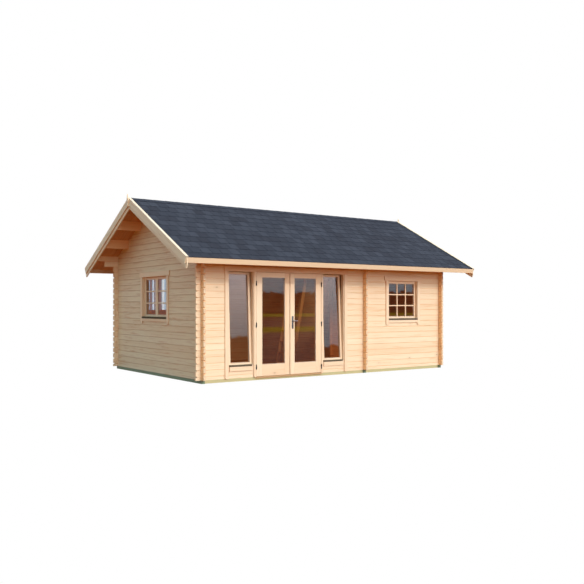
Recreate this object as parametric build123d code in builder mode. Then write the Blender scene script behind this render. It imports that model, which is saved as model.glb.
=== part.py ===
"""Log cabin with two rooms, glazed double doors and a felt-shingled saddle roof.

Millimetres, +Z up. The origin is at the middle of the log walls, on the ground.
+X runs along the long front, to the right for someone facing it, and +Y runs
from the front to the rear. The left gable is at -X.
"""

import os
from math import cos, radians, sin, tan

from build123d import *

os.makedirs("parts", exist_ok=True)

# ---------------------------------------------------------------- driving sizes
cabin_length = 6000.0  # outer faces of the gable walls
cabin_width = 3870.0  # outer faces of the front and rear walls
log_thickness = 44.0
log_height = 117.0
log_overhang = 100.0  # log ends past the crossing wall
groove_depth = 5.0  # V-groove between two logs, on both faces
groove_half = 6.0
end_notch_depth = 36.0  # V-notch in the log ends, at each joint
end_notch_half = 17.0

beam_height = 60.0  # foundation beams, from the ground to the lowest logs
beam_width = 64.0
beam_overhang = 30.0

roof_pitch = radians(27.5)
ridge_height = 3470.0  # top of the shingles
eave_overhang = 499.0
gable_overhang = 552.0
shingle_thickness = 10.0
roof_board_thickness = 19.0

partition_left = 3754.0 - cabin_length / 2  # left face of the wall between the rooms

# Door unit in the front wall: two leaves between two glazed side panels
unit_centre = 1900.0 - cabin_length / 2
doorway_half = 760.0
mullion_width = 60.0
mullion_casing_width = 45.0
panel_width = 508.0
jamb_width = 30.0
unit_head = 2008.0  # underside of the frame's head
frame_depth = 70.0
frame_head_height = 30.0
casing_thickness = 20.0
door_casing_width = 74.0
door_casing_margin = 16.0  # frame that shows beside the outer casing
head_casing_height = 95.0

leaf_thickness = 40.0
leaf_recess = 2.0  # leaf face behind the casing face
leaf_gap = 5.0
leaf_meeting_gap = 8.0
leaf_bottom = 70.0
hinge_stile = 131.0
lock_stile = 110.0
leaf_glass_bottom = 286.0
leaf_glass_top = 1910.0
leaf_glass_thickness = 20.0
glass_thickness = 8.0

panel_tilt = radians(2.6)  # side panels stand tilted in at the top
panel_sash_face = 28.0  # their lower edge, behind the wall face
panel_sash_thickness = 40.0
panel_sash_bottom = 300.0
panel_sash_top = 1998.0
panel_stile = 47.0
low_wall_courses = 1.5

window_casing_width = 76.0
window_head_casing = 97.0
window_head_ear = 45.0
sash_thickness = 40.0
sash_recess = 42.0
window_frame_depth = 86.0
window_height = 796.0  # from the top of the sill strip to the head casing
sill_strip_height = 37.0
sill_board_height = 54.0
frame_lap = 12.0  # frame hidden behind the casing
frame_lip = 8.0  # frame that shows inside the casing
sash_gap = 2.0

# ---------------------------------------------------------------- derived sizes
left = -cabin_length / 2
right = cabin_length / 2
front = -cabin_width / 2
rear = cabin_width / 2
log_base = beam_height
eave_edge = cabin_width / 2 + eave_overhang
roof_build_up = shingle_thickness + roof_board_thickness
partition_right = partition_left + log_thickness

door_left = unit_centre - doorway_half
door_right = unit_centre + doorway_half
panels = (
    (door_left - mullion_width - panel_width, door_left - mullion_width),
    (door_right + mullion_width, door_right + mullion_width + panel_width),
)
unit_left = panels[0][0]
unit_right = panels[1][1]
low_wall_top = log_base + low_wall_courses * log_height
upper_wall_base = log_base + 16.5 * log_height

# Wall faces: u along the wall, v up, w outwards
front_face = Plane(origin=(0, front, 0), x_dir=(1, 0, 0), z_dir=(0, -1, 0))
gable_face = Plane(origin=(left, 0, 0), x_dir=(0, -1, 0), z_dir=(-1, 0, 0))

pieces = {}


# ---------------------------------------------------------------- helpers
def roof_at(y, below=0.0):
    """Height of the roof plane `below` mm under the shingle tops, at y."""
    return ridge_height - abs(y) * tan(roof_pitch) - below / cos(roof_pitch)


def slab(plane, u, v, w, mode=Mode.ADD):
    """Box in the open part: u and v on the plane, w along its normal."""
    with BuildSketch(plane.offset(w[0])) as outline:
        with Locations(((u[0] + u[1]) / 2, (v[0] + v[1]) / 2)):
            Rectangle(u[1] - u[0], v[1] - v[0])
    extrude(outline.sketch, amount=w[1] - w[0], mode=mode)


def block(x, y, z, mode=Mode.ADD):
    """Box in the open part, by its ranges along the three axes."""
    slab(Plane.XY, x, y, z, mode)


def prism(plane, outlines, w, mode=Mode.ADD):
    """Closed outlines on the plane, extruded together from w[0] to w[1]."""
    with BuildSketch(plane.offset(w[0])) as profile:
        for outline in outlines:
            with BuildLine():
                Polyline(*outline, close=True)
            make_face()
    extrude(profile.sketch, amount=w[1] - w[0], mode=mode)


def along_x(outlines, x, mode=Mode.ADD):
    """Outlines in (y, z), extruded along X."""
    prism(Plane.YZ, outlines, x, mode)


def along_y(outlines, y, mode=Mode.ADD):
    """Outlines in (x, z), extruded along Y."""
    prism(Plane.XZ, outlines, (-y[1], -y[0]), mode)


def joints_between(z, first):
    """Heights of the log joints inside the range z, counted from `first`."""
    count = int((z[1] - first) / log_height) + 1
    heights = [first + k * log_height for k in range(count + 1)]
    return [height for height in heights if z[0] + 1 < height < z[1] - 1]


def log_section(faces, z, joints, tops=None):
    """Section of a wall of logs, with a V-groove on both faces at each joint."""
    outer, inner = faces
    into = 1 if inner > outer else -1
    tops = tops or (z[1], z[1])
    points = [(outer, z[0])]
    for height in joints:
        points.append((outer, height - groove_half))
        points.append((outer + into * groove_depth, height))
        points.append((outer, height + groove_half))
    points += [(outer, tops[0]), (inner, tops[1])]
    for height in reversed(joints):
        points.append((inner, height + groove_half))
        points.append((inner - into * groove_depth, height))
        points.append((inner, height - groove_half))
    points.append((inner, z[0]))
    return points


def end_notches(end, into, joints):
    """V-notches in log ends: `into` is +1 where the log runs on to +, else -1."""
    return [
        [
            (end - into, height - end_notch_half),
            (end, height - end_notch_half),
            (end + into * end_notch_depth, height),
            (end, height + end_notch_half),
            (end - into, height + end_notch_half),
        ]
        for height in joints
    ]


def crossing_bands(low, first, z):
    """Bands that a wall gives up where it crosses another, `low` to low + log."""
    bands = []
    for height in [first + k * log_height for k in range(-1, 40)]:
        bottom = max(height - log_height / 4, z[0] - 1)
        top = min(height + log_height / 4, z[1] + 1)
        if top > bottom:
            bands.append(
                [
                    (low, bottom),
                    (low + log_thickness, bottom),
                    (low + log_thickness, top),
                    (low, top),
                ]
            )
    return bands


# The long walls start with half a log, the crossing walls with a whole one
long_joint = log_base + log_height / 2
cross_joint = log_base + log_height


def long_log_part(y_out, y_in, x, z, tops=None, crossings=(), ends=()):
    """Logs along X between two heights, notched for the walls that cross them."""
    joints = joints_between(z, long_joint)
    along_x([log_section((y_out, y_in), z, joints, tops)], x)
    highest = max(tops) if tops else z[1]
    span = (min(y_out, y_in), max(y_out, y_in))
    for low in crossings:
        along_y(crossing_bands(low, long_joint, (z[0], highest)), span, Mode.SUBTRACT)
    for end, into in ends:
        along_y(end_notches(end, into, joints), span, Mode.SUBTRACT)


def wall_tops(y_out, y_in):
    """Bevelled top of a long wall, against the roof boards."""
    return (roof_at(y_out, roof_build_up), roof_at(y_in, roof_build_up))


# ---------------------------------------------------------------- roof timbers
purlin_width = 58.0
purlin_height = 150.0
purlin_end = cabin_length / 2 + gable_overhang - 45.0
purlin_offsets = (690.0, 1325.0)


def purlin_outlines():
    """Sections of the ridge purlin and of two purlins on each slope."""
    half = purlin_width / 2
    bottom = roof_at(half, roof_build_up) - purlin_height
    peak = roof_at(0, roof_build_up)
    outlines = [
        [
            (-half, bottom),
            (half, bottom),
            (half, roof_at(half, roof_build_up)),
            (0, peak),
            (-half, roof_at(half, roof_build_up)),
        ]
    ]
    for offset in purlin_offsets:
        for side in (-1, 1):
            near, far = side * (offset - half), side * (offset + half)
            bottom = roof_at(far, roof_build_up) - purlin_height
            outlines.append(
                [
                    (near, bottom),
                    (far, bottom),
                    (far, roof_at(far, roof_build_up)),
                    (near, roof_at(near, roof_build_up)),
                ]
            )
    return outlines


def cross_wall(x_out, x_in):
    """Wall of logs along Y, up to the roof, notched for long walls and purlins."""
    top = roof_at(0, roof_build_up)
    z = (log_base, top)
    joints = joints_between(z, cross_joint)
    ends = (front - log_overhang, rear + log_overhang)
    along_y([log_section((x_out, x_in), z, joints)], ends)
    span = (min(x_out, x_in), max(x_out, x_in))
    over = top + 500
    cut_end = rear + 500
    low = roof_at(cut_end, roof_build_up)
    for side in (-1, 1):
        above = [(0, top), (0, over), (side * cut_end, over), (side * cut_end, low)]
        along_x([above], span, Mode.SUBTRACT)
    along_x(purlin_outlines(), span, Mode.SUBTRACT)
    eave_joints = [height for height in joints if height < roof_at(rear + log_overhang, roof_build_up)]
    along_x(end_notches(ends[0], 1, eave_joints), span, Mode.SUBTRACT)
    along_x(end_notches(ends[1], -1, eave_joints), span, Mode.SUBTRACT)
    wall_top = roof_at(rear - log_thickness, roof_build_up)
    for low_y in (front, rear - log_thickness):
        bands = crossing_bands(low_y, cross_joint, (log_base, wall_top + log_height))
        along_x(bands, span, Mode.SUBTRACT)


# ---------------------------------------------------------------- foundation and floor
cross_beam_starts = (left, (partition_left + partition_right - beam_width) / 2, right - beam_width)
with BuildPart() as cross_foundation_beams:
    for start in cross_beam_starts:
        block(
            (start, start + beam_width),
            (front - beam_overhang, rear + beam_overhang),
            (0, beam_height),
        )
pieces["cross_foundation_beams"] = cross_foundation_beams

bays = [
    (cross_beam_starts[0] + beam_width, cross_beam_starts[1]),
    (cross_beam_starts[1] + beam_width, cross_beam_starts[2]),
]
with BuildPart() as long_foundation_beams:
    for bay in bays:
        block(bay, (front, front + beam_width), (0, beam_height))
        block(bay, (rear - beam_width, rear), (0, beam_height))
pieces["long_foundation_beams"] = long_foundation_beams

floor_thickness = 24.0
joist_width = 45.0
joist_count = 5
room_front = front + beam_width
room_rear = rear - beam_width
with BuildPart() as floor_joists:
    pitch_y = (room_rear - room_front - joist_width) / (joist_count - 1)
    for bay in bays:
        for k in range(joist_count):
            start = room_front + k * pitch_y
            block(bay, (start, start + joist_width), (0, beam_height - floor_thickness))
pieces["floor_joists"] = floor_joists

with BuildPart() as floor:
    for bay in bays:
        block(bay, (room_front, room_rear), (beam_height - floor_thickness, beam_height))
pieces["floor"] = floor

# ---------------------------------------------------------------- front wall
front_in = front + log_thickness
wall_left_end = left - log_overhang
wall_right_end = right + log_overhang
crossing_left = left
crossing_right = right - log_thickness
unit_wall_left = unit_left - jamb_width
unit_wall_right = unit_right + jamb_width

with BuildPart() as front_wall_left:
    long_log_part(
        front,
        front_in,
        (wall_left_end, unit_wall_left),
        (log_base, upper_wall_base),
        crossings=[crossing_left],
        ends=[(wall_left_end, 1)],
    )
pieces["front_wall_left"] = front_wall_left

# Windows: range along the wall between the casings, and top of the sill strip
front_window = (1452.0, 2290.0)
front_window_sill = 1112.0
gable_window = (-568.0, 568.0)
gable_window_sill = 1162.0


def window_hole(span, sill):
    """Hole in the logs that takes a window frame, as ranges of u and v."""
    across = (span[0] - frame_lap, span[1] + frame_lap)
    upright = (sill - sill_strip_height - frame_lap, sill + window_height + frame_lap)
    return across, upright


with BuildPart() as front_wall_right:
    long_log_part(
        front,
        front_in,
        (unit_wall_right, wall_right_end),
        (log_base, upper_wall_base),
        crossings=[partition_left, crossing_right],
        ends=[(wall_right_end, -1)],
    )
    slab(front_face, *window_hole(front_window, front_window_sill), (-log_thickness, 0), Mode.SUBTRACT)
pieces["front_wall_right"] = front_wall_right

with BuildPart() as front_wall_sills:
    for panel in panels:
        long_log_part(front, front_in, panel, (log_base, low_wall_top))
pieces["front_wall_sills"] = front_wall_sills

# The two highest courses run out past the gables in steps and carry the verge
corbel_joint = log_base + 18.5 * log_height
plate_joint = corbel_joint + log_height
corbel_end = cabin_length / 2 + 303.0


def top_courses(y_out, y_in, base):
    """Upper logs of a long wall, with the stepped ends under the roof."""
    tops = wall_tops(y_out, y_in)
    crossings = [crossing_left, partition_left, crossing_right]
    steps = [
        (cabin_length / 2 + log_overhang, base, corbel_joint),
        (corbel_end, corbel_joint, plate_joint),
        (purlin_end, plate_joint, max(tops)),
    ]
    long_log_part(y_out, y_in, (-purlin_end, purlin_end), (base, max(tops)), tops, crossings)
    span = (min(y_out, y_in), max(y_out, y_in))
    for reach, low, high in steps[:2]:
        for side in (-1, 1):
            x = sorted((side * reach, side * (purlin_end + 1)))
            block(x, span, (low - 1 if low == base else low, high), Mode.SUBTRACT)
    joints = joints_between((base, corbel_joint), long_joint)
    along_y(end_notches(-steps[0][0], 1, joints), span, Mode.SUBTRACT)
    along_y(end_notches(steps[0][0], -1, joints), span, Mode.SUBTRACT)


with BuildPart() as front_wall_top:
    top_courses(front, front_in, upper_wall_base)
    block(
        (unit_wall_left, unit_wall_right),
        (front, front_in),
        (upper_wall_base - 1, unit_head + frame_head_height),
        Mode.SUBTRACT,
    )
pieces["front_wall_top"] = front_wall_top

# ---------------------------------------------------------------- other walls
with BuildPart() as rear_wall:
    top_courses(rear, rear - log_thickness, log_base)
pieces["rear_wall"] = rear_wall

with BuildPart() as left_gable_wall:
    cross_wall(left, left + log_thickness)
    slab(gable_face, *window_hole(gable_window, gable_window_sill), (-log_thickness, 0), Mode.SUBTRACT)
pieces["left_gable_wall"] = left_gable_wall

with BuildPart() as right_gable_wall:
    cross_wall(right, right - log_thickness)
pieces["right_gable_wall"] = right_gable_wall

inner_doorway = (front + 320.0, front + 1170.0)
inner_doorway_top = log_base + 17 * log_height
with BuildPart() as partition_wall:
    cross_wall(partition_left, partition_right)
    block(
        (partition_left, partition_right),
        inner_doorway,
        (log_base - 1, inner_doorway_top),
        Mode.SUBTRACT,
    )
pieces["partition_wall"] = partition_wall

# ---------------------------------------------------------------- roof
with BuildPart() as purlins:
    along_x(purlin_outlines(), (-purlin_end, purlin_end))
pieces["purlins"] = purlins

verge = cabin_length / 2 + gable_overhang
barge_thickness = 22.0
backing_thickness = 20.0
board_end = verge - barge_thickness - backing_thickness
fascia_thickness = 20.0
fascia_height = 91.0
strip_lip = 6.0  # verge strips reach down beside the shingles


def roof_layer(side, top, bottom, y_end, x_end):
    """One slope of a roof layer between two depths under the shingle tops."""
    outline = [
        (0, roof_at(0, bottom)),
        (side * y_end, roof_at(y_end, bottom)),
        (side * y_end, roof_at(y_end, top)),
        (0, roof_at(0, top)),
    ]
    along_x([outline], (-x_end, x_end))


for name, side in (("front", -1), ("rear", 1)):
    with BuildPart() as roof_boards:
        roof_layer(side, shingle_thickness, roof_build_up, eave_edge - fascia_thickness, board_end)
    pieces[f"{name}_roof_boards"] = roof_boards
    with BuildPart() as shingles:
        roof_layer(side, 0.0, shingle_thickness, eave_edge, verge - strip_lip)
    pieces[f"{name}_shingles"] = shingles

cap_width = 130.0  # along each slope
cap_thickness = 10.0
cap_gap = 2.0
strip_width = 50.0  # verge strips
with BuildPart() as ridge_cap:
    reach = cap_width * cos(roof_pitch)
    top_line = [(side * reach, roof_at(reach, -cap_thickness)) for side in (-1, 1)]
    low_line = [(side * reach, roof_at(reach)) for side in (1, -1)]
    along_x(
        [[top_line[0], (0, roof_at(0, -cap_thickness)), top_line[1], low_line[0], (0, roof_at(0)), low_line[1]]],
        (strip_width + cap_gap - verge, verge - strip_width - cap_gap),
    )
pieces["ridge_cap"] = ridge_cap

with BuildPart() as fascias:
    bottom = roof_at(eave_edge, shingle_thickness) - fascia_height
    for side in (-1, 1):
        inner_y = eave_edge - fascia_thickness
        along_x(
            [
                [
                    (side * eave_edge, bottom),
                    (side * eave_edge, roof_at(eave_edge, shingle_thickness)),
                    (side * inner_y, roof_at(inner_y, shingle_thickness)),
                    (side * inner_y, bottom),
                ]
            ],
            (-board_end, board_end),
        )
pieces["fascias"] = fascias

# Boards along the verges: each gable has a pair that meets under the finial
verge_gap = 1.0


def verge_boards(top, bottom, x, y_end, upright=0.0):
    """Pair of sloping boards between two depths, with square cut lower ends.

    The cut runs upright over the first `upright` mm of the board's depth.
    """
    cut_y = y_end - (bottom - top - upright) * sin(roof_pitch)
    for side in (-1, 1):
        outline = [
            (side * verge_gap, roof_at(verge_gap, bottom)),
            (side * cut_y, roof_at(cut_y, bottom)),
            (side * y_end, roof_at(y_end, top)),
            (side * verge_gap, roof_at(verge_gap, top)),
        ]
        if upright:
            outline.insert(2, (side * y_end, roof_at(y_end, top + upright)))
        along_x([outline], x)


def both_gables(inner, outer):
    """The range from `inner` to `outer` past the middle, on each side."""
    return [(-outer, -inner), (inner, outer)]


barge_depth = 120.0
barge_reach = 8.0  # past the fascia
backing_depth = 184.0
backing_upright = 116.0
with BuildPart() as barge_boards:
    for x in both_gables(verge - barge_thickness, verge):
        verge_boards(shingle_thickness, barge_depth, x, eave_edge + barge_reach)
pieces["barge_boards"] = barge_boards

with BuildPart() as barge_backing_boards:
    for x in both_gables(board_end, verge - barge_thickness):
        verge_boards(shingle_thickness, backing_depth, x, eave_edge, backing_upright)
pieces["barge_backing_boards"] = barge_backing_boards

strip_rise = 9.0
with BuildPart() as verge_strips:
    for x in both_gables(verge - strip_width, verge):
        verge_boards(-strip_rise, 0.0, x, eave_edge + barge_reach)
    for x in both_gables(verge - strip_lip, verge):
        verge_boards(0.0, shingle_thickness, x, eave_edge + barge_reach)
pieces["verge_strips"] = verge_strips

finial_half = 46.0
finial_thickness = 22.0
finial_top = 3543.0
finial_bottom = 3300.0
finial_shoulder = 3480.0
with BuildPart() as finials:
    outline = [
        (-finial_half, finial_bottom),
        (finial_half, finial_bottom),
        (finial_half, finial_shoulder),
        (0, finial_top),
        (-finial_half, finial_shoulder),
    ]
    for x in both_gables(verge, verge + finial_thickness):
        along_x([outline], x)
pieces["finials"] = finials

# ---------------------------------------------------------------- door unit
threshold_top = 64.0
threshold_lip = 25.0
posts = [
    (unit_wall_left, unit_left),
    (door_left - mullion_width, door_left),
    (door_right, door_right + mullion_width),
    (unit_right, unit_wall_right),
]
with BuildPart() as door_posts:
    for post in posts:
        slab(front_face, post, (log_base, unit_head), (-frame_depth, 0))
pieces["door_posts"] = door_posts

with BuildPart() as door_head:
    head = (unit_head, unit_head + frame_head_height)
    slab(front_face, (unit_wall_left, unit_wall_right), head, (-frame_depth, 0))
pieces["door_head"] = door_head

with BuildPart() as door_threshold:
    along_x(
        [
            [
                (front - casing_thickness, beam_height - threshold_lip),
                (front, beam_height - threshold_lip),
                (front, beam_height),
                (front + frame_depth, beam_height),
                (front + frame_depth, threshold_top),
                (front - casing_thickness, threshold_top),
            ]
        ],
        (door_left, door_right),
    )
pieces["door_threshold"] = door_threshold

leaf_face = casing_thickness - leaf_recess
leaf_back = leaf_face - leaf_thickness
leaf_top = unit_head - leaf_gap
stop_width = 14.0
stop_front = leaf_back - 6.0
stop_gap = 1.0
with BuildPart() as door_stops:
    upright = (threshold_top, unit_head - stop_width - stop_gap)
    slab(front_face, (door_left, door_left + stop_width), upright, (-frame_depth, stop_front))
    slab(front_face, (door_right - stop_width, door_right), upright, (-frame_depth, stop_front))
    slab(front_face, (door_left, door_right), (unit_head - stop_width, unit_head), (-frame_depth, stop_front))
pieces["door_stops"] = door_stops

casing_foot = 53.0
casing_end_cut = 18.0
board_gap = 1.0


def upright_board(plane, u, v, cut_side):
    """Upright casing board whose lower corner is cut on one side."""
    outer, inner = (u[0], u[1]) if cut_side < 0 else (u[1], u[0])
    into = casing_end_cut if inner > outer else -casing_end_cut
    outline = [
        (outer, v[0] + casing_end_cut),
        (outer + into, v[0]),
        (inner, v[0]),
        (inner, v[1]),
        (outer, v[1]),
    ]
    prism(plane, [outline], (0, casing_thickness))


with BuildPart() as door_casing:
    top = unit_head - board_gap
    near = door_casing_margin
    far = near + door_casing_width
    upright_board(front_face, (unit_left - far, unit_left - near), (casing_foot, top), -1)
    upright_board(front_face, (unit_right + near, unit_right + far), (casing_foot, top), 1)
    upright_board(front_face, (door_left - mullion_casing_width, door_left), (casing_foot, top), -1)
    upright_board(front_face, (door_right, door_right + mullion_casing_width), (casing_foot, top), 1)
    slab(
        front_face,
        (unit_left - far - 16.0, unit_right + far + 16.0),
        (unit_head, unit_head + head_casing_height),
        (0, casing_thickness),
    )
pieces["door_casing"] = door_casing

# Glazed side panels: bottom rail, sill board, drip strip and a tilted sash
panel_rail_top = panel_sash_bottom - 4.0
panel_sill_board = (190.0, 270.0)
with BuildPart() as panel_rails:
    for panel in panels:
        slab(front_face, panel, (low_wall_top, panel_rail_top), (-frame_depth, 0))
pieces["panel_rails"] = panel_rails


def tilted_plane():
    """Outer face of the tilted sashes, with its origin on their lower edge."""
    return Plane(
        origin=(0, front + panel_sash_face, panel_sash_bottom),
        x_dir=(1, 0, 0),
        z_dir=(0, -cos(panel_tilt), sin(panel_tilt)),
    )


def ring(plane, u, v, w, sides, top, bottom):
    """Rectangular frame: outer ranges u and v, and the widths of its members."""
    slab(plane, u, v, w)
    inner_u = (u[0] + sides, u[1] - sides)
    inner_v = (v[0] + bottom, v[1] - top)
    slab(plane, inner_u, inner_v, w, Mode.SUBTRACT)


panel_side_gap = 4.0
panel_rail = 36.0
with BuildPart() as panel_sashes:
    for panel in panels:
        ring(
            tilted_plane(),
            (panel[0] + panel_side_gap, panel[1] - panel_side_gap),
            (0, panel_sash_top - panel_sash_bottom),
            (-panel_sash_thickness, 0),
            panel_stile,
            panel_rail,
            panel_rail,
        )
pieces["panel_sashes"] = panel_sashes

panel_glass_recess = 26.0
glass_start = -panel_glass_recess - glass_thickness
glass_range = (glass_start, glass_start + glass_thickness)
with BuildPart() as panel_glass:
    for panel in panels:
        inset = panel_side_gap + panel_stile
        slab(
            tilted_plane(),
            (panel[0] + inset, panel[1] - inset),
            (panel_rail, panel_sash_top - panel_sash_bottom - panel_rail),
            glass_range,
        )
pieces["panel_glass"] = panel_glass

# ---------------------------------------------------------------- windows
strip_drip = 26.0
strip_fall = 2.0
strip_plate = 11.0
strip_side_gap = 0.5


def drip_strip(plane, span, z, depth, inset, plate=strip_plate, short=0.0):
    """Drip strip over a sill board, with a plate that runs in to `depth`."""
    across = (span[0] + strip_side_gap, span[1] - strip_side_gap - short)
    slab(plane, across, (z[0], z[1] - strip_fall), (0, strip_drip))
    inner = (span[0] + inset, span[1] - inset)
    slab(plane, inner, (z[1] - plate, z[1]), (-depth, 0))


def window_frame(plane, span, sill):
    """Fixed frame in the hole of the logs."""
    across, upright = window_hole(span, sill)
    member = frame_lap + frame_lip
    bottom = frame_lap + sill_strip_height - 12.0
    ring(plane, across, upright, (-window_frame_depth, 0), member, member, bottom)


def window_sash_field(span, sill):
    """Ranges of u and v that the sashes fill inside the fixed frame."""
    inset = frame_lip + sash_gap
    return (span[0] + inset, span[1] - inset), (sill - 12.0 + sash_gap, sill + window_height - inset)


def window_casing(plane, span, sill):
    """Two uprights, a head board and a sill board around a window."""
    foot = sill - 138.0
    head = sill + window_height
    upright_board(plane, (span[0] - window_casing_width, span[0]), (foot, head - board_gap), -1)
    upright_board(plane, (span[1], span[1] + window_casing_width), (foot, head - board_gap), 1)
    reach = window_casing_width + window_head_ear
    slab(plane, (span[0] - reach, span[1] + reach), (head, head + window_head_casing), (0, casing_thickness))
    sill_top = sill - sill_strip_height - board_gap
    slab(
        plane,
        (span[0] + board_gap, span[1] - board_gap),
        (sill_top - sill_board_height, sill_top),
        (0, casing_thickness),
    )


sash_stile = 40.0
sash_rail = 46.0
casement_stile = 48.0
casement_gap = 2.0

with BuildPart() as front_window_frame:
    window_frame(front_face, front_window, front_window_sill)
pieces["front_window_frame"] = front_window_frame

with BuildPart() as front_window_sash:
    u, v = window_sash_field(front_window, front_window_sill)
    w = (-sash_recess - sash_thickness, -sash_recess)
    ring(front_face, u, v, w, sash_stile, sash_rail, sash_rail)
pieces["front_window_sash"] = front_window_sash

sash_glass_start = -sash_recess - (sash_thickness + glass_thickness) / 2
sash_glass_range = (sash_glass_start, sash_glass_start + glass_thickness)
with BuildPart() as front_window_glass:
    slab(
        front_face,
        (u[0] + sash_stile, u[1] - sash_stile),
        (v[0] + sash_rail, v[1] - sash_rail),
        sash_glass_range,
    )
pieces["front_window_glass"] = front_window_glass

with BuildPart() as front_window_casing:
    window_casing(front_face, front_window, front_window_sill)
pieces["front_window_casing"] = front_window_casing

with BuildPart() as gable_window_frame:
    window_frame(gable_face, gable_window, gable_window_sill)
pieces["gable_window_frame"] = gable_window_frame

u, v = window_sash_field(gable_window, gable_window_sill)
middle = (u[0] + u[1]) / 2
casements = [(u[0], middle - casement_gap / 2), (middle + casement_gap / 2, u[1])]
with BuildPart() as gable_window_sashes:
    for casement in casements:
        ring(gable_face, casement, v, w, casement_stile, sash_rail, sash_rail)
pieces["gable_window_sashes"] = gable_window_sashes

with BuildPart() as gable_window_glass:
    for casement in casements:
        slab(
            gable_face,
            (casement[0] + casement_stile, casement[1] - casement_stile),
            (v[0] + sash_rail, v[1] - sash_rail),
            sash_glass_range,
        )
pieces["gable_window_glass"] = gable_window_glass

with BuildPart() as gable_window_casing:
    window_casing(gable_face, gable_window, gable_window_sill)
pieces["gable_window_casing"] = gable_window_casing

panel_strip_gap = 1.5
panel_strip_plate = 4.0
panel_strip_short = 32.0  # its nose stops before the mullion
with BuildPart() as sill_strips:
    for panel in panels:
        drip_strip(
            front_face,
            panel,
            (panel_sill_board[1] + board_gap, panel_sash_bottom),
            panel_sash_face - panel_strip_gap,
            strip_side_gap,
            panel_strip_plate,
            panel_strip_short,
        )
    window_strips = (
        (front_face, front_window, front_window_sill),
        (gable_face, gable_window, gable_window_sill),
    )
    for face, span, sill in window_strips:
        drip_strip(
            face,
            span,
            (sill - sill_strip_height, sill),
            sash_recess - strip_side_gap,
            frame_lip + strip_side_gap,
        )
pieces["sill_strips"] = sill_strips

with BuildPart() as panel_sill_boards:
    for panel in panels:
        slab(
            front_face,
            (panel[0] + board_gap, panel[1] - board_gap),
            panel_sill_board,
            (0, casing_thickness),
        )
pieces["panel_sill_boards"] = panel_sill_boards

# ---------------------------------------------------------------- door leaves
leaves = {
    "left": (door_left + leaf_gap, unit_centre - leaf_meeting_gap / 2),
    "right": (unit_centre + leaf_meeting_gap / 2, door_right - leaf_gap),
}
stiles = {"left": (hinge_stile, lock_stile), "right": (lock_stile, hinge_stile)}
spindle_hole = 20.0
lever_x = leaves["right"][0] + 62.0
lever_z = 1089.0
leaf_glass_start = (leaf_face + leaf_back - leaf_glass_thickness) / 2

for name, leaf in leaves.items():
    glass_u = (leaf[0] + stiles[name][0], leaf[1] - stiles[name][1])
    glass_v = (leaf_glass_bottom, leaf_glass_top)
    with BuildPart() as door_leaf:
        slab(front_face, leaf, (leaf_bottom, leaf_top), (leaf_back, leaf_face))
        slab(front_face, glass_u, glass_v, (leaf_back, leaf_face), Mode.SUBTRACT)
        if name == "right":
            with BuildSketch(front_face.offset(leaf_back)) as hole:
                with Locations((lever_x, lever_z)):
                    Circle(spindle_hole / 2)
            extrude(hole.sketch, amount=leaf_thickness, mode=Mode.SUBTRACT)
    pieces[f"{name}_door"] = door_leaf
    with BuildPart() as leaf_glass:
        slab(front_face, glass_u, glass_v, (leaf_glass_start, leaf_glass_start + leaf_glass_thickness))
    pieces[f"{name}_door_glass"] = leaf_glass

cover_strip_width = 36.0
cover_strip_thickness = 12.0
with BuildPart() as meeting_cover_strip:
    start = leaves["right"][0]
    slab(
        front_face,
        (start, start + cover_strip_width),
        (leaf_bottom, leaf_top),
        (leaf_face, leaf_face + cover_strip_thickness),
    )
pieces["meeting_cover_strip"] = meeting_cover_strip

# Hinges: a pin and lower knuckle on the frame, an upper knuckle on the leaf
hinge_heights = {"left": (246.0, 1023.0, 1795.0), "right": (188.0, 1023.0, 1795.0)}
hinge_radius = 9.0
hinge_length = 92.0
pin_radius = 5.0
pin_clearance = 0.4
knuckle_gap = 1.0
hinge_out = casing_thickness + 11.0
hinge_x = {"left": door_left + 2.5, "right": door_right - 2.5}
web_thickness = 6.0
web_offset = 3.5


def barrel(centre, z, radius, mode=Mode.ADD):
    """Upright cylinder in the open part between two heights."""
    with BuildSketch(Plane.XY.offset(z[0])) as circle:
        with Locations(centre):
            Circle(radius)
    extrude(circle.sketch, amount=z[1] - z[0], mode=mode)


def hinge_web(name, side, z, reach):
    """Tab from a knuckle back to `reach`; side is +1 towards the leaf, else -1."""
    inward = 1 if name == "left" else -1
    near = hinge_x[name] + side * inward * web_offset
    far = near + side * inward * web_thickness
    slab(front_face, sorted((near, far)), z, (reach, hinge_out))


with BuildPart() as frame_hinges:
    for name in leaves:
        centre = (hinge_x[name], front - hinge_out)
        for height in hinge_heights[name]:
            low = height - hinge_length / 2
            barrel(centre, (low, height - knuckle_gap / 2), hinge_radius)
            barrel(centre, (low, height + hinge_length / 2 - 8.0), pin_radius)
            hinge_web(name, -1, (low, height - knuckle_gap / 2), casing_thickness)
pieces["frame_hinges"] = frame_hinges

for name in leaves:
    with BuildPart() as leaf_hinges:
        centre = (hinge_x[name], front - hinge_out)
        for height in hinge_heights[name]:
            knuckle = (height + knuckle_gap / 2, height + hinge_length / 2)
            barrel(centre, knuckle, hinge_radius)
            hinge_web(name, 1, knuckle, leaf_face)
        for height in hinge_heights[name]:
            bore = (height, height + hinge_length / 2 - 7.0)
            barrel(centre, bore, pin_radius + pin_clearance, Mode.SUBTRACT)
    pieces[f"{name}_door_hinges"] = leaf_hinges

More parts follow.
